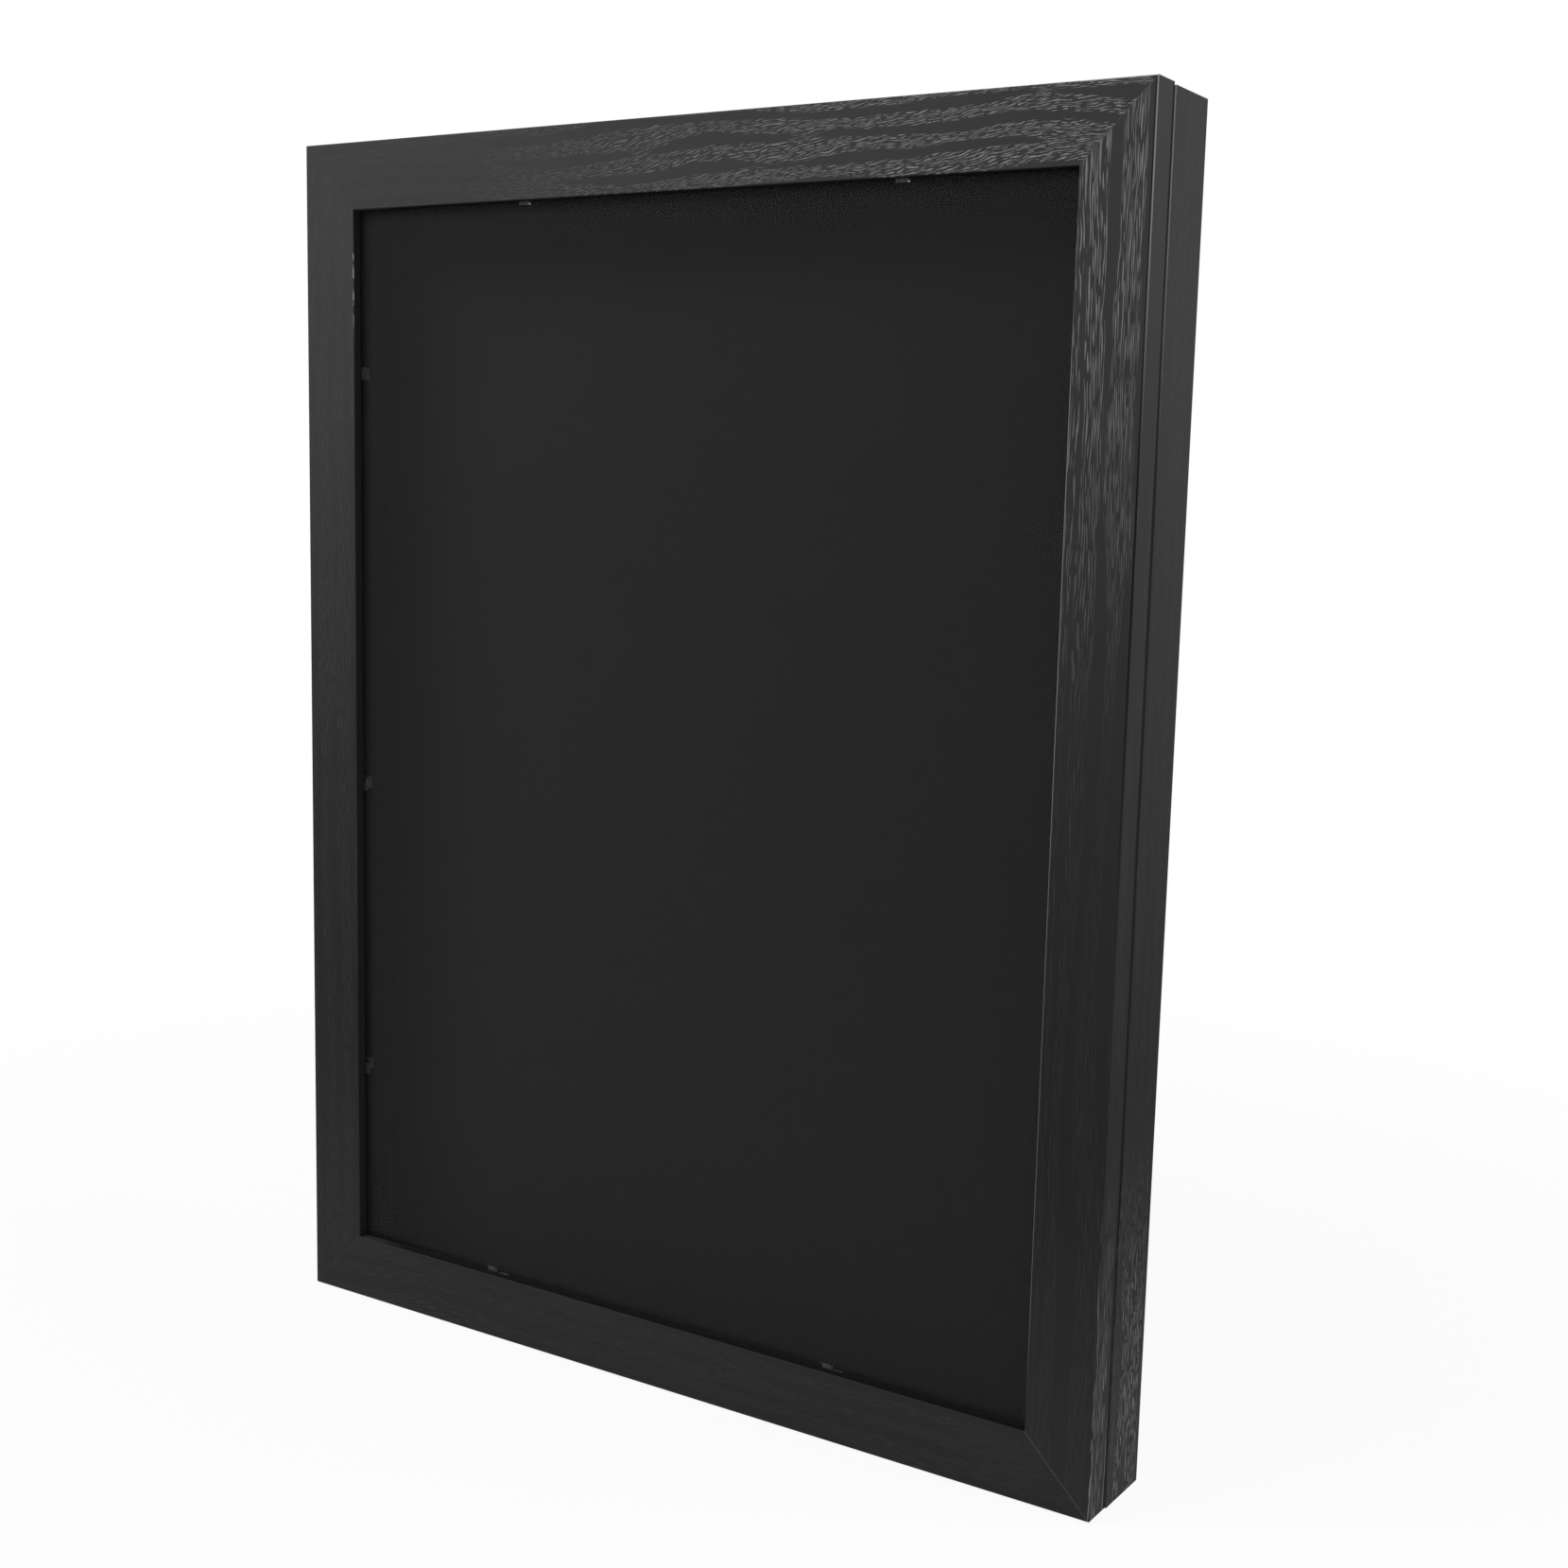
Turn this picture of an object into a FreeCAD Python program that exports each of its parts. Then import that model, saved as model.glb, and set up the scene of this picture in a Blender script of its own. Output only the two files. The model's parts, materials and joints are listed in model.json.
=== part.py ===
import FreeCAD, Part
import os

from FreeCAD import Vector

# Jersey shadow box: a deep wooden case with a hinged, glazed door frame on its front.
# Millimetres. +X is the viewer's right, the front faces -Y, +Z is up.
# The origin is the middle of the bottom face, half way between front and back.

# Size of the door and of the case, seen from the front
frame_width = 700.0
frame_height = 900.0

# Door frame
door_depth = 25.0
face_width = 49.0
lip_depth = 7.0
glazing_rebate = 8.0
front_arris = 0.8
door_rear_arris = 2.0
small_arris = 0.4

# Case
case_depth = 49.4
case_wall = 22.0
case_arris = 1.0
back_rebate_width = 7.0
back_rebate_depth = 6.0

# Between the parts; the door hangs a little high, clear of the shelf it opens over
door_gap = 0.6
door_rise = 1.3
mitre_step = 0.04
board_clearance = 1.0
screw_clearance = 0.03

# Sheets and boards
glazing_thickness = 2.0
glazing_clearance = 1.0
back_panel_thickness = 5.0
pin_board_thickness = 6.0
felt_thickness = 1.2

# Glazing clips: places are shares of the rail between its two ends
clip_width = 10.0
clip_metal = 0.8
clip_reach = 3.0
clip_height = 14.0
clip_outer_bend = 1.3
clip_screw_drop = 9.0
clip_places = {
    "left": (0.209, 0.463, 0.814),
    "right": (0.344, 0.656),
    "bottom": (0.259, 0.701),
    "top": (0.299, 0.747),
}

# Hinges
hinge_height = 60.0
hinge_end_distance = 130.0
hinge_reach = 17.0
leaf_thickness = 1.2
leaf_gap = 0.1
knuckle_radius = 3.0
knuckle_count = 5
knuckle_gap = 0.3
knuckle_stand_off = 0.4
pin_radius = 1.25
pin_clearance = 0.05
pin_head_radius = 2.2
pin_head_height = 1.0
pin_head_taper = 0.7
hinge_screw_spacing = 22.0
hinge_screw_line = 9.5

# Magnetic catches
catch_radius = 5.0
catch_clearance = 0.05
magnet_depth = 4.0
strike_depth = 2.5
catch_end_distance = 100.0

# Keyhole hanging plates
plate_width = 11.0
plate_length = 46.0
plate_thickness = 1.2
plate_top_distance = 60.0
keyhole_entry_radius = 4.5
keyhole_slot_width = 5.0
keyhole_slot_rise = 11.0
keyhole_below_middle = 5.0
pocket_depth = 7.0
pocket_margin = 0.3
plate_screw_inset = 4.5

# Fasteners
wood_screw_radius = 1.3
wood_screw_length = 12.0
wood_screw_head = 2.5
wood_screw_head_height = 1.2
pan_head = 2.6
pan_head_height = 1.5
clip_screw_length = 10.0
recess_width = 0.6
recess_depth = 0.7
recess_share = 0.6
point_length_radii = 2.0
point_tip_share = 0.25
panel_nail_radius = 0.8
panel_nail_length = 14.0
panel_nail_head = 1.7
panel_nail_head_height = 0.5
panel_nail_edge = 3.0
panel_nail_spacing = 110.0
corner_nail_leg = 7.0
corner_nail_metal = 0.6
corner_nail_depth = 10.0
corner_nail_sunk = 0.2
door_nail_insets = (9.0, 26.0)
case_nail_insets = (5.0,)

# How far a cutter reaches past what it cuts
cutter_overshoot = 1.0

# Planes that follow from the sizes above
total_depth = door_depth + door_gap + case_depth
front_y = -total_depth / 2
door_back_y = front_y + door_depth
case_front_y = door_back_y + door_gap
back_y = total_depth / 2
glazing_front_y = front_y + lip_depth
glazing_back_y = glazing_front_y + glazing_thickness
panel_front_y = back_y - back_rebate_depth
hinge_y = door_back_y + door_gap / 2
hinge_x = -frame_width / 2 - knuckle_stand_off - knuckle_radius
rebate_wall = face_width - glazing_rebate
back_rim = case_wall - back_rebate_width

SIDES = ("left", "right", "bottom", "top")
INWARD = {
    "left": Vector(1, 0, 0),
    "right": Vector(-1, 0, 0),
    "bottom": Vector(0, 0, 1),
    "top": Vector(0, 0, -1),
}
BACKWARD = Vector(0, 1, 0)
FORWARD = Vector(0, -1, 0)
LIFT = Vector(0, 0, door_rise)


def on_side(side, u, y, w):
    """The point u inwards from the outer edge of one side, at depth y, w along it."""
    if side == "left":
        return Vector(-frame_width / 2 + u, y, w)
    if side == "right":
        return Vector(frame_width / 2 - u, y, w)
    if side == "bottom":
        return Vector(w, y, u)
    return Vector(w, y, frame_height - u)


def ends(side):
    """Where one side starts and ends along its length."""
    if side in ("left", "right"):
        return 0.0, frame_height
    return -frame_width / 2, frame_width / 2


def along(side, share):
    """The place at a share of one side's length."""
    start, end = ends(side)
    return start + share * (end - start)


def block(x0, x1, y0, y1, z0, z1):
    """A box from its limits on each axis."""
    return Part.makeBox(x1 - x0, y1 - y0, z1 - z0, Vector(x0, y0, z0))


def prism(corners, direction):
    """A solid with straight sides, from the corners of one end."""
    return Part.Face(Part.makePolygon(corners + corners[:1])).extrude(direction)


def rounded_outline(place, corners):
    """A closed wire through square corners (u, y, radius), each rounded if it has a radius."""
    bends = []
    count = len(corners)
    for i, (u, y, radius) in enumerate(corners):
        corner = Vector(u, y, 0)
        before = Vector(corners[i - 1][0], corners[i - 1][1], 0)
        after = Vector(corners[(i + 1) % count][0], corners[(i + 1) % count][1], 0)
        to_before = (before - corner).normalize() * radius
        to_after = (after - corner).normalize() * radius
        centre = corner + to_before + to_after
        middle = centre
        if radius > 0:
            middle = centre + (corner - centre).normalize() * radius
        bends.append((corner + to_before, middle, corner + to_after, radius))
    edges = []
    for i, (first, middle, last, radius) in enumerate(bends):
        if radius > 0:
            edges.append(Part.Arc(place(first), place(middle), place(last)).toShape())
        following = bends[(i + 1) % count][0]
        edges.append(Part.LineSegment(place(last), place(following)).toShape())
    return Part.Wire(edges)


def bar(side, corners, start, end):
    """A straight bar of one outline along a side, from start to end."""
    wire = rounded_outline(lambda p: on_side(side, p.x, p.y, start), corners)
    run = on_side(side, 0, 0, end) - on_side(side, 0, 0, start)
    return Part.Face(wire).extrude(run)


def mitre_wedge(side, width):
    """The space that one mitred side fills, cut at 45 degrees at both ends."""
    start, end = ends(side)
    low = front_y - cutter_overshoot
    corners = [
        on_side(side, 0, low, start + mitre_step),
        on_side(side, 0, low, end - mitre_step),
        on_side(side, width, low, end - width - mitre_step),
        on_side(side, width, low, start + width + mitre_step),
    ]
    return prism(corners, Vector(0, total_depth + 2 * cutter_overshoot, 0))


def mitred_side(side, corners, width):
    """One side of a mitred frame."""
    start, end = ends(side)
    return bar(side, corners, start, end).common(mitre_wedge(side, width))


# Fasteners


def turned(point, direction, solid):
    """A solid made along +Z from the origin, moved so that +Z is the given direction."""
    solid.Placement = FreeCAD.Placement(point, FreeCAD.Rotation(Vector(0, 0, 1), direction))
    return solid


def cross_recess(head_top, head_radius):
    """The cross that a screwdriver fits, cut into a head whose top is at head_top."""
    arm = head_radius * recess_share
    half = recess_width / 2
    above = head_top - recess_depth
    below = head_top + recess_depth
    long_cut = block(-arm, arm, -half, half, above, below)
    cross_cut = block(-half, half, -arm, arm, above, below)
    return long_cut.fuse(cross_cut)


def shank(radius, length):
    """A pointed shank from the origin along +Z."""
    point_length = point_length_radii * radius
    straight = length - point_length
    body = Part.makeCylinder(radius, straight)
    tip = Part.makeCone(radius, radius * point_tip_share, point_length, Vector(0, 0, straight))
    return body.fuse(tip)


def sunk_screw(point, direction):
    """A countersunk screw whose flat head is flush with the point."""
    head = Part.makeCone(wood_screw_head, wood_screw_radius, wood_screw_head_height)
    screw = head.fuse(shank(wood_screw_radius, wood_screw_length))
    screw = screw.cut(cross_recess(0.0, wood_screw_head)).removeSplitter()
    return turned(point, direction, screw)


def sunk_seat(point, direction):
    """The countersink and pilot hole that a sunk screw fits."""
    gap = screw_clearance
    head = Part.makeCone(wood_screw_head + gap, wood_screw_radius + gap, wood_screw_head_height)
    hole = Part.makeCylinder(wood_screw_radius + gap, wood_screw_length + gap)
    return turned(point, direction, head.fuse(hole))


def pan_screw(point, direction):
    """A screw whose domed head sits on the point."""
    rise = pan_head_height
    ball = (pan_head**2 + rise**2) / (2 * rise)
    dome = Part.makeSphere(ball, Vector(0, 0, ball - rise))
    head = dome.common(Part.makeCylinder(pan_head, rise, Vector(0, 0, -rise)))
    screw = head.fuse(shank(wood_screw_radius, clip_screw_length))
    screw = screw.cut(cross_recess(-rise, pan_head)).removeSplitter()
    return turned(point, direction, screw)


def pilot_hole(point, direction, radius, length):
    """A plain hole with the fastener's clearance."""
    return turned(point, direction, Part.makeCylinder(radius + screw_clearance, length + screw_clearance))


def panel_nail(point, direction):
    """A flat-headed nail whose head sits on the point."""
    rise = panel_nail_head_height
    head = Part.makeCylinder(panel_nail_head, rise, Vector(0, 0, -rise))
    nail = head.fuse(shank(panel_nail_radius, panel_nail_length)).removeSplitter()
    return turned(point, direction, nail)


def corner_nail(side, end_side, inset, mouth_y, direction):
    """A bent steel strip across a mitre: one leg in each of the two sides that meet there."""
    tip = inset + corner_nail_leg
    thick = inset + corner_nail_metal
    start_y = mouth_y + direction.y * corner_nail_sunk
    run = direction * corner_nail_depth
    outline = [
        (inset, inset),
        (tip, inset),
        (tip, thick),
        (thick, thick),
        (thick, tip),
        (inset, tip),
    ]
    sign = 1 if side == "left" else -1
    corners = []
    for across, up in outline:
        z = up if end_side == "bottom" else frame_height - up
        corners.append(Vector(sign * (across - frame_width / 2), start_y, z))
    return prism(corners, run)


def corner_nails(insets, mouth_y, direction):
    """The corner nails of one frame, at each of its four mitres."""
    nails = []
    for side in ("left", "right"):
        for end_side in ("bottom", "top"):
            for inset in insets:
                nails.append(corner_nail(side, end_side, inset, mouth_y, direction))
    return nails


# Glazing and the clips that hold it


def glazing_sheet():
    """The clear sheet, seated on the bottom rail's rebate and loose at the other edges."""
    half = frame_width / 2 - rebate_wall - glazing_clearance
    top = frame_height - rebate_wall - 2 * glazing_clearance
    return block(-half, half, glazing_front_y, glazing_back_y, rebate_wall, top)


def glazing_clip(side, share):
    """An angle clip: one leg lies on the sheet's back, the other on the rebate's wall."""
    inner = rebate_wall
    low = glazing_back_y
    corners = [
        (inner, low, clip_outer_bend),
        (face_width + clip_reach, low, 0),
        (face_width + clip_reach, low + clip_metal, 0),
        (inner + clip_metal, low + clip_metal, clip_outer_bend - clip_metal),
        (inner + clip_metal, low + clip_height, 0),
        (inner, low + clip_height, 0),
    ]
    middle = along(side, share)
    clip = bar(side, corners, middle - clip_width / 2, middle + clip_width / 2)
    return clip.cut(pilot_hole(clip_screw_seat(side, share), -INWARD[side], wood_screw_radius, clip_metal))


def clip_screw_seat(side, share):
    """Where a clip screw's head sits on its clip."""
    return on_side(side, rebate_wall + clip_metal, glazing_back_y + clip_screw_drop, along(side, share))


def clip_pilot(side, share):
    """The hole in the rail for a clip screw."""
    return pilot_hole(clip_screw_seat(side, share), -INWARD[side], wood_screw_radius, clip_screw_length)


def all_clips():
    """Every clip place, as side and share of that side's length."""
    return [(side, share) for side in SIDES for share in clip_places[side]]


# Hinges


def hinge_levels():
    """The middle height of each hinge, from the bottom up."""
    top = frame_height - hinge_end_distance
    return {"bottom": hinge_end_distance, "middle": frame_height / 2, "top": top}


def knuckle_spans(middle, first):
    """Every second knuckle of a hinge, starting with number first, as low and high ends."""
    length = (hinge_height - (knuckle_count - 1) * knuckle_gap) / knuckle_count
    spans = []
    for i in range(first, knuckle_count, 2):
        low = middle - hinge_height / 2 + i * (length + knuckle_gap)
        spans.append((low, low + length))
    return spans


def leaf_limits(direction):
    """The front and back faces of a leaf that lies on the given side of the hinge line."""
    near = hinge_y + direction.y * leaf_gap / 2
    far = near + direction.y * leaf_thickness
    return min(near, far), max(near, far)


def hinge_screw_points(middle, direction):
    """Where the three screws of a leaf have their heads."""
    x = -frame_width / 2 + hinge_screw_line
    y = hinge_y + direction.y * leaf_gap / 2
    return [Vector(x, y, middle + i * hinge_screw_spacing) for i in (-1, 0, 1)]


def hinge_leaf(middle, direction, first):
    """One leaf with its knuckles: a plate let into the wood beside the barrel."""
    low_y, high_y = leaf_limits(direction)
    plate_x = hinge_x + knuckle_radius + knuckle_gap
    end_x = -frame_width / 2 + hinge_reach
    leaf = block(plate_x, end_x, low_y, high_y, middle - hinge_height / 2, middle + hinge_height / 2)
    for low, high in knuckle_spans(middle, first):
        barrel = Part.makeCylinder(knuckle_radius, high - low, Vector(hinge_x, hinge_y, low))
        web = block(hinge_x, plate_x, low_y, high_y, low, high)
        leaf = leaf.fuse(web).fuse(barrel)
    bore = Part.makeCylinder(
        pin_radius + pin_clearance,
        hinge_height + 2 * cutter_overshoot,
        Vector(hinge_x, hinge_y, middle - hinge_height / 2 - cutter_overshoot),
    )
    leaf = leaf.cut(bore)
    for point in hinge_screw_points(middle, direction):
        leaf = leaf.cut(sunk_seat(point, direction))
    return leaf.removeSplitter()


def hinge_mortise(middle, direction):
    """The shallow recess that a leaf lies in, with its screw holes."""
    low_y, high_y = leaf_limits(direction)
    start_x = -frame_width / 2 - cutter_overshoot
    end_x = -frame_width / 2 + hinge_reach
    half = hinge_height / 2
    if direction.y > 0:
        low_y = case_front_y - cutter_overshoot
    else:
        high_y = door_back_y + cutter_overshoot
    cutter = block(start_x, end_x, low_y, high_y, middle - half, middle + half)
    for point in hinge_screw_points(middle, direction):
        cutter = cutter.fuse(sunk_seat(point, direction))
    return cutter


def hinge_pin(middle):
    """The headed pin that the knuckles turn on."""
    low = middle - hinge_height / 2
    pin = Part.makeCylinder(pin_radius, hinge_height, Vector(hinge_x, hinge_y, low))
    head = Part.makeCone(
        pin_head_radius,
        pin_head_radius * pin_head_taper,
        pin_head_height,
        Vector(hinge_x, hinge_y, low + hinge_height),
    )
    return pin.fuse(head).removeSplitter()


# Magnetic catches


def catch_points(y):
    """The middle of each catch on the side away from the hinges."""
    x = frame_width / 2 - case_wall / 2
    top = frame_height - catch_end_distance
    return [Vector(x, y, z) for z in (catch_end_distance, frame_height / 2, top)]


def catch_disc(point, direction, depth):
    """A disc let into the wood, standing proud by half of the door gap."""
    proud = door_gap / 2
    return Part.makeCylinder(catch_radius, depth, point - direction * proud, direction)


def catch_pocket(point, direction, depth):
    """The blind hole for a catch disc."""
    radius = catch_radius + catch_clearance
    return Part.makeCylinder(radius, depth, point - direction * door_gap / 2, direction)


# Hanging plates


def plate_middle(side):
    """The middle of a hanging plate, on the back rim of one side."""
    return on_side(side, back_rim / 2, back_y, frame_height - plate_top_distance)


def keyhole(side, y0, y1, margin):
    """The round entry with the slot above it, from depth y0 to y1."""
    middle = plate_middle(side)
    entry_z = middle.z - keyhole_below_middle
    top_z = entry_z + keyhole_slot_rise
    half = keyhole_slot_width / 2 + margin
    entry = Part.makeCylinder(
        keyhole_entry_radius + margin, y1 - y0, Vector(middle.x, y0, entry_z), BACKWARD
    )
    slot = block(middle.x - half, middle.x + half, y0, y1, entry_z, top_z)
    end = Part.makeCylinder(half, y1 - y0, Vector(middle.x, y0, top_z), BACKWARD)
    return entry.fuse(slot).fuse(end)


def plate_screw_points(side):
    """The two screws of a hanging plate, one near each end."""
    middle = plate_middle(side)
    reach = plate_length / 2 - plate_screw_inset
    return [Vector(middle.x, back_y, middle.z + i * reach) for i in (-1, 1)]


def plate_body(side):
    """The plate before its holes are cut, flush with the back rim."""
    middle = plate_middle(side)
    half = plate_width / 2
    low = middle.z - plate_length / 2
    high = middle.z + plate_length / 2
    depth = back_y - plate_thickness
    return block(middle.x - half, middle.x + half, depth, back_y, low, high)


def keyhole_plate(side):
    """A steel plate with a keyhole for the head of a wall screw."""
    inner = back_y - plate_thickness - cutter_overshoot
    plate = plate_body(side).cut(keyhole(side, inner, back_y + cutter_overshoot, 0))
    for point in plate_screw_points(side):
        plate = plate.cut(sunk_seat(point, FORWARD))
    return plate


def plate_recess(side):
    """The seat for a hanging plate, with the pocket behind its keyhole."""
    middle = plate_middle(side)
    half = keyhole_entry_radius + pocket_margin
    low = middle.z - keyhole_below_middle - half
    high = middle.z - keyhole_below_middle + keyhole_slot_rise + half
    bottom = back_y - plate_thickness - pocket_depth
    pocket = block(middle.x - half, middle.x + half, bottom, back_y, low, high)
    recess = plate_body(side).fuse(pocket)
    for point in plate_screw_points(side):
        recess = recess.fuse(sunk_seat(point, FORWARD))
    return recess


# Back of the case


def back_panel_body():
    """The thin panel in the case's rear rebate."""
    half = frame_width / 2 - back_rim - board_clearance
    low = back_rim + board_clearance
    back = panel_front_y + back_panel_thickness
    return block(-half, half, panel_front_y, back, low, frame_height - low)


def nail_places(side):
    """Even places along one side of the panel for its nails."""
    start, end = ends(side)
    count = max(1, round((end - start) / panel_nail_spacing))
    step = (end - start) / count
    return [start + (i + 0.5) * step for i in range(count)]


def panel_nail_points():
    """Where the nails of the back panel have their heads."""
    inset = back_rim + board_clearance + panel_nail_edge
    y = panel_front_y + back_panel_thickness
    points = []
    for side in SIDES:
        for w in nail_places(side):
            points.append((side, on_side(side, inset, y, w)))
    return points


def pin_board_limits(margin):
    """The pin board's limits, or with a margin those of its felt."""
    half = frame_width / 2 - case_wall - board_clearance - felt_thickness + margin
    low = case_wall + board_clearance + felt_thickness - margin
    front = panel_front_y - pin_board_thickness - margin
    return block(-half, half, front, panel_front_y, low, frame_height - low)


def felt_cover():
    """The felt over the pin board's face and round its four edges."""
    return pin_board_limits(felt_thickness).cut(pin_board_limits(0))


# Wooden frames

DOOR_OUTLINE = [
    (0, front_y, front_arris),
    (face_width, front_y, front_arris),
    (face_width, glazing_front_y, 0),
    (rebate_wall, glazing_front_y, 0),
    (rebate_wall, door_back_y, small_arris),
    (0, door_back_y, door_rear_arris),
]
CASE_OUTLINE = [
    (0, case_front_y, case_arris),
    (case_wall, case_front_y, small_arris),
    (case_wall, panel_front_y, 0),
    (back_rim, panel_front_y, 0),
    (back_rim, back_y, small_arris),
    (0, back_y, case_arris),
]


def lifted(solids):
    """Solids made level with the case, moved up to where the door hangs."""
    return [solid.translated(LIFT) for solid in solids]


def door_rail(side, nails):
    """One mitred rail of the door, lifted, with the holes that its fittings need."""
    rail = mitred_side(side, DOOR_OUTLINE, face_width)
    for nail in nails:
        rail = rail.cut(nail)
    for share in clip_places[side]:
        rail = rail.cut(clip_pilot(side, share))
    rail = rail.translated(LIFT)
    if side == "left":
        for level in hinge_levels().values():
            rail = rail.cut(hinge_mortise(level, FORWARD))
    if side == "right":
        for point in catch_points(door_back_y):
            rail = rail.cut(catch_pocket(point, FORWARD, strike_depth))
    return rail


def case_board(side, nails):
    """One mitred board of the case, with the holes that its fittings need."""
    board = mitred_side(side, CASE_OUTLINE, case_wall)
    for nail in nails:
        board = board.cut(nail)
    for place, point in panel_nail_points():
        if place == side:
            board = board.cut(pilot_hole(point, FORWARD, panel_nail_radius, panel_nail_length))
    if side == "left":
        for level in hinge_levels().values():
            board = board.cut(hinge_mortise(level, BACKWARD))
    if side == "right":
        for point in catch_points(case_front_y):
            board = board.cut(catch_pocket(point, BACKWARD, magnet_depth))
    if side in ("left", "right"):
        board = board.cut(plate_recess(side))
    return board


def back_panel():
    """The back panel with a hole for each nail."""
    panel = back_panel_body()
    for _, point in panel_nail_points():
        panel = panel.cut(pilot_hole(point, FORWARD, panel_nail_radius, panel_nail_length))
    return panel


# Nodes


def door_nodes():
    """Every piece that swings with the door."""
    nails = corner_nails(door_nail_insets, door_back_y, FORWARD)
    screws = [pan_screw(clip_screw_seat(*place), -INWARD[place[0]]) for place in all_clips()]
    leaf_screws = []
    strikes = [catch_disc(p, FORWARD, strike_depth) for p in catch_points(door_back_y)]
    nodes = {
        "door_left_stile": [door_rail("left", nails)],
        "door_right_stile": [door_rail("right", nails)],
        "door_bottom_rail": [door_rail("bottom", nails)],
        "door_top_rail": [door_rail("top", nails)],
        "door_corner_nails": lifted(nails),
        "glazing_sheet": lifted([glazing_sheet()]),
        "glazing_clips": lifted([glazing_clip(*place) for place in all_clips()]),
        "glazing_clip_screws": lifted(screws),
        "catch_strikes": strikes,
    }
    for name, level in hinge_levels().items():
        nodes["hinge_door_leaf_" + name] = [hinge_leaf(level, FORWARD, 1)]
        leaf_screws += [sunk_screw(p, FORWARD) for p in hinge_screw_points(level, FORWARD)]
    nodes["hinge_door_screws"] = leaf_screws
    return nodes


def case_nodes():
    """Every piece that stays with the case."""
    nails = corner_nails(case_nail_insets, back_y, FORWARD)
    leaf_screws = []
    plate_screws = []
    nodes = {
        "case_left_side": [case_board("left", nails)],
        "case_right_side": [case_board("right", nails)],
        "case_bottom_board": [case_board("bottom", nails)],
        "case_top_board": [case_board("top", nails)],
        "case_corner_nails": nails,
        "back_panel": [back_panel()],
        "back_panel_nails": [panel_nail(p, FORWARD) for _, p in panel_nail_points()],
        "pin_board": [pin_board_limits(0)],
        "pin_board_felt": [felt_cover()],
        "catch_magnets": [catch_disc(p, BACKWARD, magnet_depth) for p in catch_points(case_front_y)],
    }
    for name, level in hinge_levels().items():
        nodes["hinge_case_leaf_" + name] = [hinge_leaf(level, BACKWARD, 0)]
        nodes["hinge_pin_" + name] = [hinge_pin(level)]
        leaf_screws += [sunk_screw(p, BACKWARD) for p in hinge_screw_points(level, BACKWARD)]
    nodes["hinge_case_screws"] = leaf_screws
    for side in ("left", "right"):
        nodes["keyhole_plate_" + side] = [keyhole_plate(side)]
        plate_screws += [sunk_screw(p, FORWARD) for p in plate_screw_points(side)]
    nodes["keyhole_plate_screws"] = plate_screws
    return nodes


def write(nodes):
    """One file for each node, with its solids side by side."""
    os.makedirs("parts", exist_ok=True)
    for name, solids in nodes.items():
        shape = solids[0] if len(solids) == 1 else Part.makeCompound(solids)
        shape.exportStep("parts/" + name + ".step")


write(door_nodes())
write(case_nodes())
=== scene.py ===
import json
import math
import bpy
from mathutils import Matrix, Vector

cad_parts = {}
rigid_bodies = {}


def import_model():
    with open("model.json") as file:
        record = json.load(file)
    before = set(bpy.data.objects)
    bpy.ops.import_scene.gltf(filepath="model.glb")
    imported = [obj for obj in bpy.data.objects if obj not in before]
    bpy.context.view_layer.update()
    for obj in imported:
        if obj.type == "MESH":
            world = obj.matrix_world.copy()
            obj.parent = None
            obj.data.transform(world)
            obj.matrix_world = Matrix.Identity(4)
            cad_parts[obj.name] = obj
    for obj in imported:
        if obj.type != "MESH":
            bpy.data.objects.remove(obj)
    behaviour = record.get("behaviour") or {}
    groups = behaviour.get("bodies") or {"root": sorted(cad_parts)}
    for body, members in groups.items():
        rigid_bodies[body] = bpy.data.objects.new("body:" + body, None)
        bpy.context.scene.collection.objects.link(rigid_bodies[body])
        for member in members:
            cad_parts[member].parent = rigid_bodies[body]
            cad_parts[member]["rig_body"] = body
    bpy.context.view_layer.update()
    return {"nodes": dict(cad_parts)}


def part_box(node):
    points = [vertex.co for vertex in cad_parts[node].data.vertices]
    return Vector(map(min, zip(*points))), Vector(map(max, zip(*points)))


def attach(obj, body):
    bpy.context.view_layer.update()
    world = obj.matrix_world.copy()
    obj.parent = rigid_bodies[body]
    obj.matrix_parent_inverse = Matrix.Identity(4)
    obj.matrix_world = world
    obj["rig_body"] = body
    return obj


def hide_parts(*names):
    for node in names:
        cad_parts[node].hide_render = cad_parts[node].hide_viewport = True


bl_info = {
    "name": "Jersey shadow box",
    "version": (1, 0, 0),
    "blender": (4, 5, 0),
    "location": "3D View > Sidebar > Shadow box",
    "description": "Finishes, felt, fasteners and studio for a hinged and glazed shadow box",
    "category": "Object",
}

from collections import namedtuple

import bmesh
import bpy
from bpy.props import FloatProperty, FloatVectorProperty, IntProperty, PointerProperty
from mathutils import Matrix, Vector

# The frame, and the sizes that are read from it, in metres.
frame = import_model()
NODES = frame["nodes"]

DOOR_SIDES = {
    "left": "door_left_stile",
    "right": "door_right_stile",
    "bottom": "door_bottom_rail",
    "top": "door_top_rail",
}
CASE_SIDES = {
    "left": "case_left_side",
    "right": "case_right_side",
    "bottom": "case_bottom_board",
    "top": "case_top_board",
}
LEVELS = ("bottom", "middle", "top")

stile_low, stile_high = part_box("door_left_stile")
side_low, side_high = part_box("case_left_side")
sheet_low, sheet_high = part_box("glazing_sheet")
clips_low, clips_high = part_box("glazing_clips")
panel_low, panel_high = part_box("back_panel")

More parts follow.
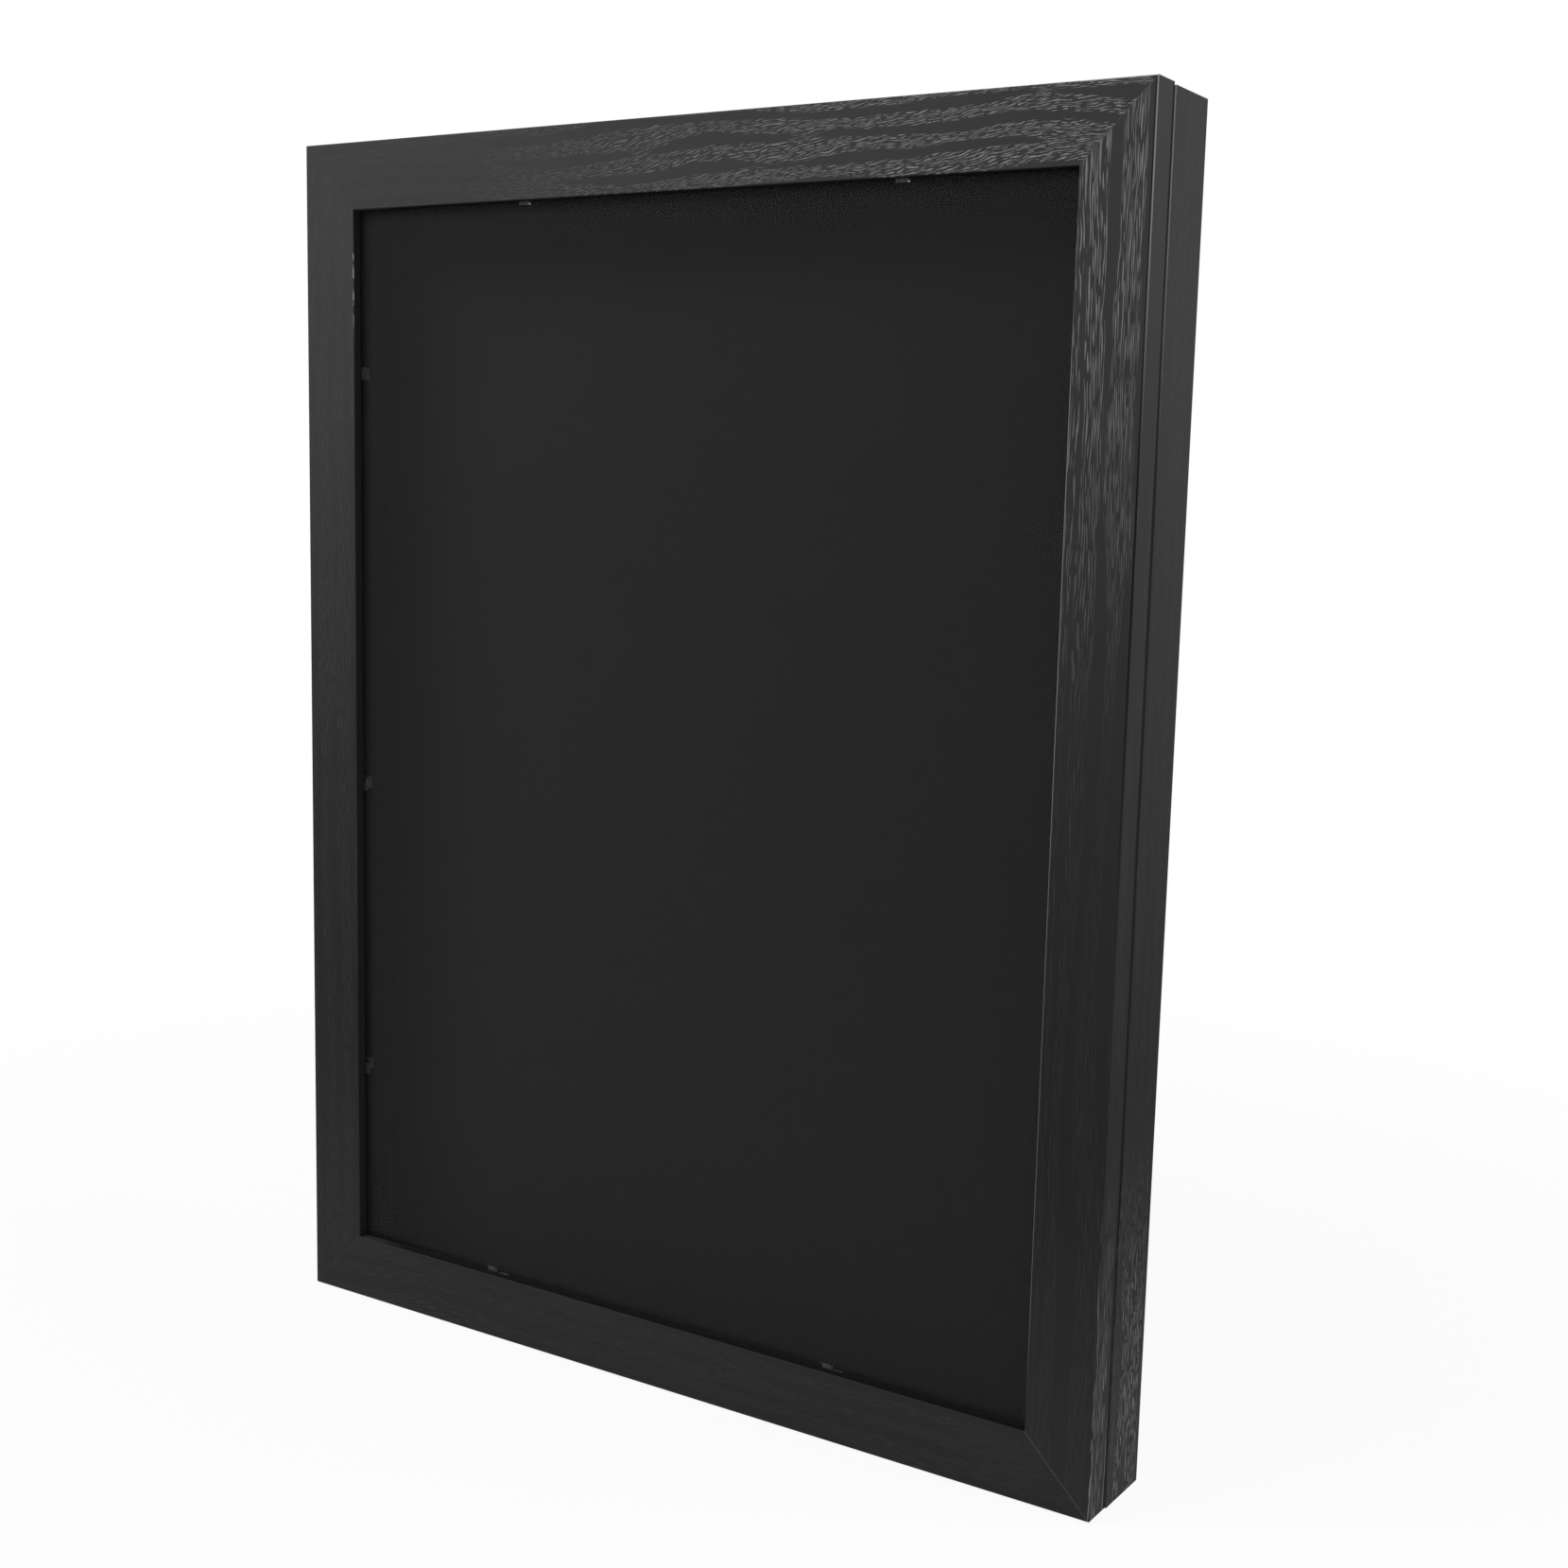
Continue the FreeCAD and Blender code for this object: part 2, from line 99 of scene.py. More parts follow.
HALF_WIDTH = -stile_low.x
HALF_HEIGHT = (stile_high.z - stile_low.z) / 2
DOOR_MIDDLE = (stile_high.z + stile_low.z) / 2
CASE_MIDDLE = (side_high.z + side_low.z) / 2
TOP = stile_high.z
FRONT = stile_low.y
FACE_WIDTH = stile_high.x - stile_low.x
DOOR_DEPTH = stile_high.y - FRONT
LIP_DEPTH = sheet_low.y - FRONT
REBATE_INSET = HALF_WIDTH + clips_low.x
CASE_FRONT_DEPTH = side_low.y - FRONT
CASE_WALL = side_high.x - side_low.x
PANEL_DEPTH = panel_low.y - FRONT


# Settings that a user may change


class WrapSettings(bpy.types.PropertyGroup):
    """The black oak-grain wrap on the door and the case."""

    ground: FloatVectorProperty(
        name="Ground",
        description="Colour of the wrap between the pores",
        subtype="COLOR",
        default=(0.031, 0.031, 0.0313),
    )
    # Partly the pores' own grey and partly painted sheen: this light colour is laid on most strongly where
    # the pores catch the light.
    pore: FloatVectorProperty(
        name="Pore",
        description="Colour of the pores where they are strongest",
        subtype="COLOR",
        default=(0.205, 0.205, 0.206),
    )
    # Painted highlight: the light colour painted on the arrises where light catches them.
    painted_highlight: FloatVectorProperty(
        name="Painted edge highlight",
        description="Colour of the arrises where a highlight is painted",
        subtype="COLOR",
        default=(0.26, 0.26, 0.26),
    )
    lip: FloatVectorProperty(
        name="Lip",
        description="Colour of the narrow edge round the glazing",
        subtype="COLOR",
        default=(0.008, 0.008, 0.008),
    )
    primer: FloatVectorProperty(
        name="Primer",
        description="Colour of the rebates and backs, where the wrap ends",
        subtype="COLOR",
        default=(0.012, 0.012, 0.012),
    )
    # Painted shade: the dark colour painted on the door's rear arris in the groove and in a line beside
    # the front arris.
    seam: FloatVectorProperty(
        name="Seam",
        description="Colour of the door's rear arris and of the crease beside the front one",
        subtype="COLOR",
        default=(0.003, 0.003, 0.003),
    )
    pore_room: FloatVectorProperty(
        name="Pore room",
        description="Room for one pore, along and across the grain",
        size=2,
        default=(0.020, 0.0015),
        unit="LENGTH",
    )
    streak_room: FloatVectorProperty(
        name="Streak room",
        description="Room for one streak low on the right side, along and across the grain",
        size=2,
        default=(0.019, 0.0027),
        unit="LENGTH",
    )
    band_pitch: FloatProperty(
        name="Band pitch",
        description="Usual distance between two bands of pores",
        default=0.0155,
        unit="LENGTH",
    )
    wander: FloatProperty(
        name="Wander",
        description="How far the grain strays to either side",
        default=0.007,
        unit="LENGTH",
    )
    emboss: FloatProperty(
        name="Emboss",
        description="Depth of the pores",
        default=0.00010,
        unit="LENGTH",
    )


class LiningSettings(bpy.types.PropertyGroup):
    """The black inside of the case, the felt and the boards."""

    felt: FloatVectorProperty(
        name="Felt",
        description="Colour of the felt",
        subtype="COLOR",
        default=(0.0080, 0.0070, 0.0076),
    )
    walls: FloatVectorProperty(
        name="Walls",
        description="Colour of the inner walls",
        subtype="COLOR",
        default=(0.0080, 0.0072, 0.0076),
    )
    hardboard: FloatVectorProperty(
        name="Hardboard",
        description="Colour of the back panel's face",
        subtype="COLOR",
        default=(0.045, 0.042, 0.040),
    )
    fibre_board: FloatVectorProperty(
        name="Fibre board",
        description="Colour of the board that takes the pins",
        subtype="COLOR",
        default=(0.42, 0.36, 0.28),
    )
    felt_thickness: FloatProperty(
        name="Felt thickness",
        description="Thickness of the felt",
        default=0.001,
        unit="LENGTH",
    )
    felt_fold: FloatProperty(
        name="Felt fold",
        description="Radius of the felt round the edges of the board",
        default=0.0015,
        unit="LENGTH",
    )
    felt_ease: FloatProperty(
        name="Felt ease",
        description="How far the stretched felt still rises and falls",
        default=0.00008,
        unit="LENGTH",
    )


class MetalSettings(bpy.types.PropertyGroup):
    """Fittings and fasteners."""

    zinc: FloatVectorProperty(
        name="Zinc",
        description="Colour of the zinc plate",
        subtype="COLOR",
        default=(0.56, 0.57, 0.60),
    )
    nickel: FloatVectorProperty(
        name="Nickel",
        description="Colour of the magnets' plate",
        subtype="COLOR",
        default=(0.66, 0.65, 0.62),
    )
    clip_paint: FloatVectorProperty(
        name="Clip paint",
        description="Colour of the clips' faces",
        subtype="COLOR",
        default=(0.09, 0.09, 0.092),
    )
    bare_steel: FloatVectorProperty(
        name="Bare steel",
        description="Colour of the clips' cut ends",
        subtype="COLOR",
        default=(0.80, 0.80, 0.80),
    )
    clip_metal: FloatProperty(
        name="Clip metal",
        description="Thickness of a glazing clip",
        default=0.0008,
        unit="LENGTH",
    )
    clip_bend: FloatProperty(
        name="Clip bend",
        description="Radius of a glazing clip's bend, at the middle of the metal",
        default=0.0009,
        unit="LENGTH",
    )
    shank_radius: FloatProperty(
        name="Shank radius",
        description="Radius of a screw's shank",
        default=0.0013,
        unit="LENGTH",
    )
    nail_radius: FloatProperty(
        name="Nail radius",
        description="Radius of a panel nail's shank",
        default=0.0008,
        unit="LENGTH",
    )
    recess_width: FloatProperty(
        name="Recess width",
        description="Width of each arm of the cross in a screw's head",
        default=0.0006,
        unit="LENGTH",
    )
    recess_depth: FloatProperty(
        name="Recess depth",
        description="Depth of the cross in a screw's head",
        default=0.0007,
        unit="LENGTH",
    )
    seed: IntProperty(
        name="Seed",
        description="Fixes how far each fastener is turned",
        default=11,
    )


class StudioSettings(bpy.types.PropertyGroup):
    """The floor, the light and the camera."""

    floor: FloatVectorProperty(
        name="Floor",
        description="Colour of the floor",
        subtype="COLOR",
        default=(0.80, 0.80, 0.80),
    )
    floor_radius: FloatProperty(
        name="Floor radius",
        description="Radius of the round floor",
        default=14.0,
        unit="LENGTH",
    )
    room_light: FloatProperty(
        name="Room light",
        description="Strength of the even light from all round",
        default=0.24,
    )
    key_power: FloatProperty(
        name="Key power",
        description="Power of the wide lamp above the left front",
        default=36.0,
        unit="POWER",
    )
    side_power: FloatProperty(
        name="Side power",
        description="Power of the lamp beyond the right side",
        default=16.0,
        unit="POWER",
    )
    camera_place: FloatVectorProperty(
        name="Camera place",
        description="Where the photograph was taken from",
        subtype="TRANSLATION",
        default=(0.8670, -1.1779, 0.6547),
    )
    camera_turn: FloatVectorProperty(
        name="Camera turn",
        description="The camera's turn about X, Y and Z",
        subtype="EULER",
        default=(math.radians(81.6114), math.radians(-1.7725), math.radians(31.4002)),
    )
    focal_length: FloatProperty(
        name="Focal length",
        description="Focal length on a 36 mm sensor, in millimetres",
        default=47.107,
    )


class ShadowBoxSettings(bpy.types.PropertyGroup):
    """Every setting of the shadow box."""

    wrap: PointerProperty(type=WrapSettings)
    lining: PointerProperty(type=LiningSettings)
    metal: PointerProperty(type=MetalSettings)
    studio: PointerProperty(type=StudioSettings)


# Node graphs

MIX_FIRST = 6
MIX_SECOND = 7
MIX_RESULT = 2


class Graph:
    """Adds nodes to one node tree and joins them."""

    def __init__(self, tree):
        self.tree = tree

    def add(self, kind, inputs=None, **settings):
        """A new node; inputs holds a value, or another node's output, for each socket."""
        made = self.tree.nodes.new(kind)
        for name, value in settings.items():
            setattr(made, name, value)
        for socket, value in (inputs or {}).items():
            self.feed(made.inputs[socket], value)
        return made

    def feed(self, socket, value):
        """Joins an output to a socket, or sets the socket's value."""
        if isinstance(value, bpy.types.NodeSocket):
            self.tree.links.new(value, socket)
        else:
            socket.default_value = value

    def calc(self, operation, *values):
        """The result of a Math node."""
        return self.add("ShaderNodeMath", dict(enumerate(values)), operation=operation).outputs[0]

    def every(self, *masks):
        """The product of some masks."""
        product = masks[0]
        for mask in masks[1:]:
            product = self.calc("MULTIPLY", product, mask)
        return product

    def step(self, value, low, high):
        """0 at low, 1 at high and smooth between them; low may be the larger."""
        sockets = {"Value": value, "From Min": low, "From Max": high}
        return self.add("ShaderNodeMapRange", sockets, interpolation_type="SMOOTHSTEP").outputs[0]

    def between(self, share, low, high):
        """A number between low and high."""
        sockets = {"Value": share, "To Min": low, "To Max": high}
        return self.add("ShaderNodeMapRange", sockets).outputs[0]

    def blend(self, share, first, second):
        """A colour between two others."""
        sockets = {0: share, MIX_FIRST: opaque(first), MIX_SECOND: opaque(second)}
        return self.add("ShaderNodeMix", sockets, data_type="RGBA").outputs[MIX_RESULT]

    def vector(self, x, y, z=0.0):
        """A vector from three numbers or outputs."""
        return self.add("ShaderNodeCombineXYZ", {0: x, 1: y, 2: z}).outputs[0]

    def scaled(self, vector, x, y, z=1.0):
        """A vector divided by a length on each axis."""
        sockets = {0: vector, 1: (1 / x, 1 / y, 1 / z)}
        return self.add("ShaderNodeVectorMath", sockets, operation="MULTIPLY").outputs[0]

    def noise(self, vector, detail=2.0, roughness=0.5, scale=1.0, flat=True):
        """Smooth noise from 0 to 1, whose lumps are one unit wide at a scale of 1."""
        sockets = {"Vector": vector, "Scale": scale, "Detail": detail, "Roughness": roughness}
        dimensions = "2D" if flat else "3D"
        return self.add("ShaderNodeTexNoise", sockets, noise_dimensions=dimensions).outputs[0]

    def cells(self, vector, scale=1.0, flat=True):
        """Distance to the nearest of some scattered points."""
        sockets = {"Vector": vector, "Scale": scale}
        dimensions = "2D" if flat else "3D"
        return self.add("ShaderNodeTexVoronoi", sockets, voronoi_dimensions=dimensions).outputs[0]

    def bump(self, height, distance):
        """A normal from a height between 0 and 1 that stands for a distance."""
        sockets = {"Height": height, "Distance": distance}
        return self.add("ShaderNodeBump", sockets).outputs[0]


def opaque(colour):
    """A plain colour with an alpha of 1; anything else as it is."""
    if isinstance(colour, bpy.types.NodeSocket) or len(colour) == 4:
        return colour
    return (*colour, 1.0)


def new_finish(name, even):
    """A material whose shader has its even values set; gives the material, graph and shader."""
    material = bpy.data.materials.new(name)
    material.use_nodes = True
    shader = material.node_tree.nodes["Principled BSDF"]
    for socket, value in even.items():
        shader.inputs[socket].default_value = value
    return material, Graph(material.node_tree), shader


def object_place(graph):
    """The Object coordinates, whole and as X, Y and Z."""
    place = graph.add("ShaderNodeTexCoord").outputs["Object"]
    return place, graph.add("ShaderNodeSeparateXYZ", {0: place}).outputs


# The oak-grain wrap

POKE = 0.0003

# Where a piece's grain starts, the share of a pitch that its bands are moved by, how much
# shorter its pores are than usual, how far they slant, and how much broader each band is than
# the one before it, counted outwards from the glazing.
Grain = namedtuple("Grain", "start phase shorter slant growth", defaults=(0.0, 1.0, 0.0, 1.0))
GRAIN = {
    "door_left_stile": Grain(3.1),
    "door_right_stile": Grain(7.4, phase=0.51, shorter=0.5, growth=2.9),
    "door_bottom_rail": Grain(11.8),
    "door_top_rail": Grain(15.3, phase=0.33, shorter=1.5, slant=0.10),
    "case_left_side": Grain(19.9),
    "case_right_side": Grain(23.2),
    "case_bottom_board": Grain(27.7),
    "case_top_board": Grain(31.4),
}


def oak_grain_tree(wrap):
    """A node group that gives open oak pores, streaks and fine figure along and across."""
    tree = bpy.data.node_groups.new("Oak grain", "ShaderNodeTree")
    tree.interface.new_socket("Place", in_out="INPUT", socket_type="NodeSocketVector")
    for name in ("Ring", "Slant"):
        tree.interface.new_socket(name, in_out="INPUT", socket_type="NodeSocketFloat")
    for name in ("Pore", "Streak", "Figure"):
        tree.interface.new_socket(name, in_out="OUTPUT", socket_type="NodeSocketFloat")
    graph = Graph(tree)
    given = graph.add("NodeGroupInput").outputs
    place = given["Place"]
    slow = graph.noise(graph.scaled(place, 0.30, 0.06), detail=1.0)
    quick = graph.noise(graph.scaled(place, 0.022, 0.009), detail=1.0)
    stray = graph.calc("MULTIPLY", graph.calc("SUBTRACT", slow, 0.5), 4 * wrap.wander)
    shiver = graph.calc("MULTIPLY", graph.calc("SUBTRACT", quick, 0.5), 0.35 * wrap.wander)
    wander = graph.calc("ADD", stray, shiver)
    shift = graph.vector(0.0, wander)
    bent = graph.add("ShaderNodeVectorMath", {0: place, 1: shift}, operation="ADD").outputs[0]
    band = graph_bands(graph, bent, graph.calc("MULTIPLY_ADD", wander, 1 / wrap.band_pitch, given["Ring"]))
    pore_place = slanted(graph, bent, given["Slant"])
    pore = graph.every(graph_pores(graph, pore_place, wrap.pore_room), band)
    column = graph.noise(graph.scaled(bent, 0.30, 0.010), detail=1.0)
    columned = graph.between(graph.step(column, 0.40, 0.50), 0.20, 1.0)
    streak = graph.every(graph_pores(graph, bent, wrap.streak_room), columned)
    figure_place = graph.scaled(bent, 0.05, 0.0009)
    figure = graph.noise(figure_place, detail=3.0, roughness=0.6)
    outputs = graph.add("NodeGroupOutput")
    graph.feed(outputs.inputs["Pore"], pore)
    graph.feed(outputs.inputs["Streak"], streak)
    graph.feed(outputs.inputs["Figure"], figure)
    return tree


def slanted(graph, place, slant):
    """A place along and across the grain, with what runs along it turned a little."""
    along, across, _ = graph.add("ShaderNodeSeparateXYZ", {0: place}).outputs
    drift = graph.calc("MULTIPLY", along, slant)
    return graph.vector(along, graph.calc("SUBTRACT", across, drift))


def graph_bands(graph, bent, ring):
    """Bands of early wood across the grain, with smooth late wood between them."""
    wave = graph.calc("SINE", graph.calc("MULTIPLY", ring, 2 * math.pi))
    swell = graph.noise(graph.scaled(bent, 0.14, 0.022), detail=2.0)
    level = graph.calc("MULTIPLY_ADD", graph.calc("SUBTRACT", swell, 0.5), 4.0, wave)
    return graph.step(level, -0.55, -0.20)


def graph_pores(graph, bent, room):
    """Fine pores side by side like a comb, broken along the grain, some fainter than others."""
    across = graph.add("ShaderNodeSeparateXYZ", {0: bent}).outputs[1]
    waver = graph.noise(graph.scaled(bent, 0.9 * room[0], 3.0 * room[1]), detail=1.0)
    comb = graph.calc("MULTIPLY_ADD", across, 1 / room[1], graph.calc("MULTIPLY", waver, 1.4))
    tooth = graph.calc("SINE", graph.calc("MULTIPLY", comb, 2 * math.pi))
    breaks = graph.noise(graph.scaled(bent, 0.42 * room[0], 0.9 * room[1]), detail=1.0)
    level = graph.calc("MULTIPLY_ADD", graph.calc("SUBTRACT", breaks, 0.5), 4.4, tooth)
    fill = graph.step(level, 0.30, 0.72)
    chance = graph.noise(graph.scaled(bent, 0.8 * room[0], 1.5 * room[1]), detail=1.0)
    return graph.every(fill, graph.between(graph.step(chance, 0.30, 0.62), 0.45, 1.0))


def ring_place(graph, own, across, from_inner, pitch):
    """How many bands from the first one: evenly spaced, or each broader than the last."""
    if own.growth == 1.0:
        return graph.calc("MULTIPLY_ADD", across, 1 / pitch, own.phase)
    reach = graph.calc("DIVIDE", graph.calc("MAXIMUM", from_inner, 0.0005), pitch)
    return graph.calc("ADD", graph.calc("LOGARITHM", reach, own.growth), own.phase)


def edge_distances(graph, xyz, middle):
    """Distances from the nearer side edge, from the nearer end edge and from the front face."""
    from_side = graph.calc("SUBTRACT", HALF_WIDTH, graph.calc("ABSOLUTE", xyz[0]))
    from_middle = graph.calc("ABSOLUTE", graph.calc("SUBTRACT", xyz[2], middle))
    from_end = graph.calc("SUBTRACT", HALF_HEIGHT, from_middle)
    return from_side, from_end, graph.calc("SUBTRACT", xyz[1], FRONT)


def right_and_top(graph, xyz):
    """Distances from the right edge and from the top edge."""
    return graph.calc("SUBTRACT", HALF_WIDTH, xyz[0]), graph.calc("SUBTRACT", TOP, xyz[2])


def painted_pore_sheen(graph, from_right, from_top, depth):
    """A painted sheen on the pores of the front: strongest at the top right, faint elsewhere."""
    spread = graph.vector(graph.calc("DIVIDE", from_right, 0.64), graph.calc("DIVIDE", from_top, 0.46))
    reach = graph.add("ShaderNodeVectorMath", {0: spread}, operation="LENGTH").outputs["Value"]
    clear = graph.step(reach, 0.98, 0.12)
    corner = graph.every(clear, graph.step(depth, 0.0014, 0.0008))
    return graph.calc("MAXIMUM", corner, 0.07)


def arris_mask(graph, inset, depth):
    """The rounded corner between two faces that are both within a millimetre."""
    return graph.step(graph.calc("ADD", inset, depth), 0.0009, 0.0006)


def painted_edge_highlights(graph, inset, depth, from_right, from_top):
    """Painted highlights along the arrises: the right-hand ones, most of all near the top, the inner arris
    of the right stile and a few spots on the left stile's inner arris.
    """
    high = graph.between(graph.step(from_top, 0.26, 0.06), 0.05, 0.85)
    right = graph.step(from_right, 0.052, 0.050)
    behind = graph.calc("ABSOLUTE", graph.calc("SUBTRACT", depth, CASE_FRONT_DEPTH))
    outer = graph.calc("MAXIMUM", arris_mask(graph, inset, depth), arris_mask(graph, inset, behind))
    inner = arris_mask(graph, graph.calc("SUBTRACT", FACE_WIDTH, inset), depth)
    reach = graph.every(graph.step(from_top, 0.10, 0.20), graph.step(from_top, 0.84, 0.76))
    clear = graph.between(graph.step(from_top, 0.62, 0.30), 0.42, 0.80)
    painted_highlight = graph.calc("MAXIMUM", graph.every(outer, high), graph.every(inner, reach, clear))
    left = graph.every(graph.step(from_right, 0.648, 0.650), painted_highlight_spots(graph, from_top))
    return graph.calc("MAXIMUM", graph.every(painted_highlight, right), graph.every(inner, left))


def painted_highlight_spots(graph, from_top):
    """Spots of painted highlight on an arris, a little below the top."""
    near = graph.every(graph.step(from_top, 0.070, 0.078), graph.step(from_top, 0.150, 0.105))
    spots = graph.noise(graph.scaled(graph.vector(from_top, 0.0), 0.009, 1.0), detail=2.0)
    return graph.every(near, graph.step(spots, 0.42, 0.60))


def ground_tone_and_painted_shade(graph, place, figure, from_top):
    """Fine figure and slow patches, times a painted shade that darkens the lower half and painted light
    from the floor that lightens it again near the bottom.
    """
    patch = graph.noise(graph.scaled(place, 0.30, 0.06), detail=1.0)
    tone = graph.calc("ADD", graph.between(figure, -0.16, 0.16), graph.between(patch, 0.90, 1.10))
    # Painted light: lighter at the top, darker lower down, and lighter again near the floor.
    painted_shade_low = graph.between(graph.step(from_top, 0.06, 0.66), 1.20, 0.58)
    painted_floor_bounce = graph.every(graph.step(from_top, 0.64, 0.88), 0.26)
    return graph.every(tone, graph.calc("ADD", painted_shade_low, painted_floor_bounce))


def wrap_finish(name, side, grain, settings, middle, closed_zones):
    """The wrap on one side of a frame; closed_zones gives the masks of its lip and its primer."""
    wrap = settings.wrap
    material, graph, shader = new_finish(name + "_wrap", {"Specular IOR Level": 0.05})
    _, xyz = object_place(graph)
    from_side, from_end, depth = edge_distances(graph, xyz, middle)
    from_right, from_top = right_and_top(graph, xyz)
    upright = side in ("left", "right")
    inset = from_side if upright else from_end
    along = xyz[2] if upright else xyz[0]
    across = graph.calc("ADD", xyz[0] if upright else xyz[2], xyz[1])
    own = GRAIN[name]
    place = graph.vector(graph.calc("MULTIPLY_ADD", along, own.shorter, own.start), across)
    from_inner = graph.calc("SUBTRACT", FACE_WIDTH, inset)
    ring = ring_place(graph, own, across, from_inner, wrap.band_pitch)
    oak = graph.add("ShaderNodeGroup", node_tree=grain)
    for socket, value in {"Place": place, "Ring": ring, "Slant": own.slant}.items():
        graph.feed(oak.inputs[socket], value)
    pore, streak, figure = (oak.outputs[socket] for socket in ("Pore", "Streak", "Figure"))
    # Painted sheen on the pores, strongest at the top right.
    pore_with_painted_sheen = graph.every(pore, painted_pore_sheen(graph, from_right, from_top, depth))
    on_side = graph.step(from_right, 0.0014, 0.0008)
    # Painted sheen: light streaks laid on the right side face only low down.
    painted_low_side_sheen = graph.every(graph.step(xyz[2], 0.27, 0.05), on_side)
    grey = graph.calc("MAXIMUM", pore_with_painted_sheen, graph.every(streak, painted_low_side_sheen, 0.92))
    # Painted shade: the right side face is darkened from half way down, less so right at the floor.
    shade = graph.every(on_side, graph.step(from_top, 0.46, 0.66), graph.step(xyz[2], 0.06, 0.20))
    tone = ground_tone_and_painted_shade(graph, place, figure, from_top)
    tone = graph.every(tone, graph.between(shade, 1.0, 0.66))
    ground = graph.add("ShaderNodeVectorMath", {0: wrap.ground, 3: tone}, operation="SCALE").outputs[0]
    colour = graph.blend(grey, ground, wrap.pore)
    mitre = graph.calc("ABSOLUTE", graph.calc("SUBTRACT", from_side, from_end))
    joint = graph.between(graph.step(from_top, 0.30, 0.70), 0.12, 0.22)
    joint = graph.every(joint, graph.between(graph.step(from_right, 0.60, 0.30), 0.30, 1.0))
    colour = graph.blend(graph.every(graph.step(mitre, 0.0008, 0.0003), joint), colour, wrap.pore)
    # Painted shade: a dark line on the front face beside the right-hand arris near the top, and the door's
    # rear arris darkened where the groove to the case lies in shade.
    painted_edge_shade = graph.every(graph.step(inset, 0.0020, 0.0012), graph.step(depth, 0.0004, 0.0001))
    painted_edge_shade = graph.every(painted_edge_shade, graph.step(from_right, 0.004, 0.003), graph.step(from_top, 0.60, 0.30))
    painted_groove_shade = graph.every(
        graph.step(depth, DOOR_DEPTH - 0.0040, DOOR_DEPTH - 0.0034),
        graph.step(depth, CASE_FRONT_DEPTH - 0.0001, DOOR_DEPTH + 0.0001),
        graph.step(inset, 0.0030, 0.0025),
    )
    colour = graph.blend(graph.calc("MAXIMUM", painted_edge_shade, painted_groove_shade), colour, wrap.seam)
    # Painted highlights on the arrises, blended over the wrap.
    painted_highlight = painted_edge_highlights(graph, inset, depth, from_right, from_top)
    colour = graph.blend(painted_highlight, colour, wrap.painted_highlight)
    lip, primer, lining = closed_zones(graph, inset, depth)
    # Painted light: the left stile's lip is made up to 3.6 times lighter than the other lips.
    pale = graph.between(graph.step(from_right, 0.60, 0.64), 1.0, 3.6)
    lip_colour_with_painted_light = graph.add("ShaderNodeVectorMath", {0: wrap.lip, 3: pale}, operation="SCALE").outputs[0]
    colour = graph.blend(lip, colour, lip_colour_with_painted_light)
    colour = graph.blend(primer, colour, wrap.primer)
    colour = graph.blend(lining, colour, settings.lining.walls)
    graph.feed(shader.inputs["Base Color"], colour)
    bare = graph.calc("MAXIMUM", primer, lining)
    satin = graph.between(figure, 0.52, 0.68)
    rough = graph.calc("MAXIMUM", satin, graph.calc("MULTIPLY", bare, 0.92))
    graph.feed(shader.inputs["Roughness"], rough)
    height = graph.calc("ADD", graph.calc("MULTIPLY", pore, -1.0), graph.calc("MULTIPLY", figure, 0.35))
    graph.feed(shader.inputs["Normal"], graph.bump(height, wrap.emboss))
    return material


def door_zones(graph, inset, depth):
    """The lip round the glazing, and the rebate and back, of a door rail."""
    front_of_lip = graph.step(depth, 0.0008, 0.0011)
    lip = graph.every(graph.step(inset, FACE_WIDTH - 0.0006, FACE_WIDTH - POKE), front_of_lip)
    rebate = graph.every(
        graph.step(inset, REBATE_INSET - POKE, REBATE_INSET),
        graph.step(depth, LIP_DEPTH - POKE, LIP_DEPTH),
    )
    back = graph.step(depth, DOOR_DEPTH - POKE, DOOR_DEPTH)
    return lip, graph.calc("MAXIMUM", rebate, back), 0.0


def case_zones(graph, inset, depth):
    """The rear rebate and rim, and the inner wall, of a case board."""
    behind = graph.step(depth, PANEL_DEPTH - POKE, PANEL_DEPTH)
    rear = graph.every(behind, graph.step(inset, 0.0012, 0.0018))
    inner = graph.step(inset, CASE_WALL - POKE, CASE_WALL)
    return 0.0, rear, inner


# Other finishes


def glazing_finish():
    """Clear sheet whose polished face mirrors the pale room, with a faint bloom from wiping."""
    even = {"Base Color": (0.043, 0.0400, 0.0412, 1.0), "Specular IOR Level": 0.2, "IOR": 1.49}
    material, graph, shader = new_finish("clear_glazing", even)
    place, _ = object_place(graph)
    wiped = graph.noise(graph.scaled(place, 0.30, 0.10, 0.09), detail=3.0, flat=False)
    graph.feed(shader.inputs["Alpha"], graph.between(wiped, 0.145, 0.160))
    graph.feed(shader.inputs["Roughness"], graph.between(wiped, 0.01, 0.03))
    graph.feed(shader.inputs["Normal"], graph.bump(wiped, 0.00002))
    return material


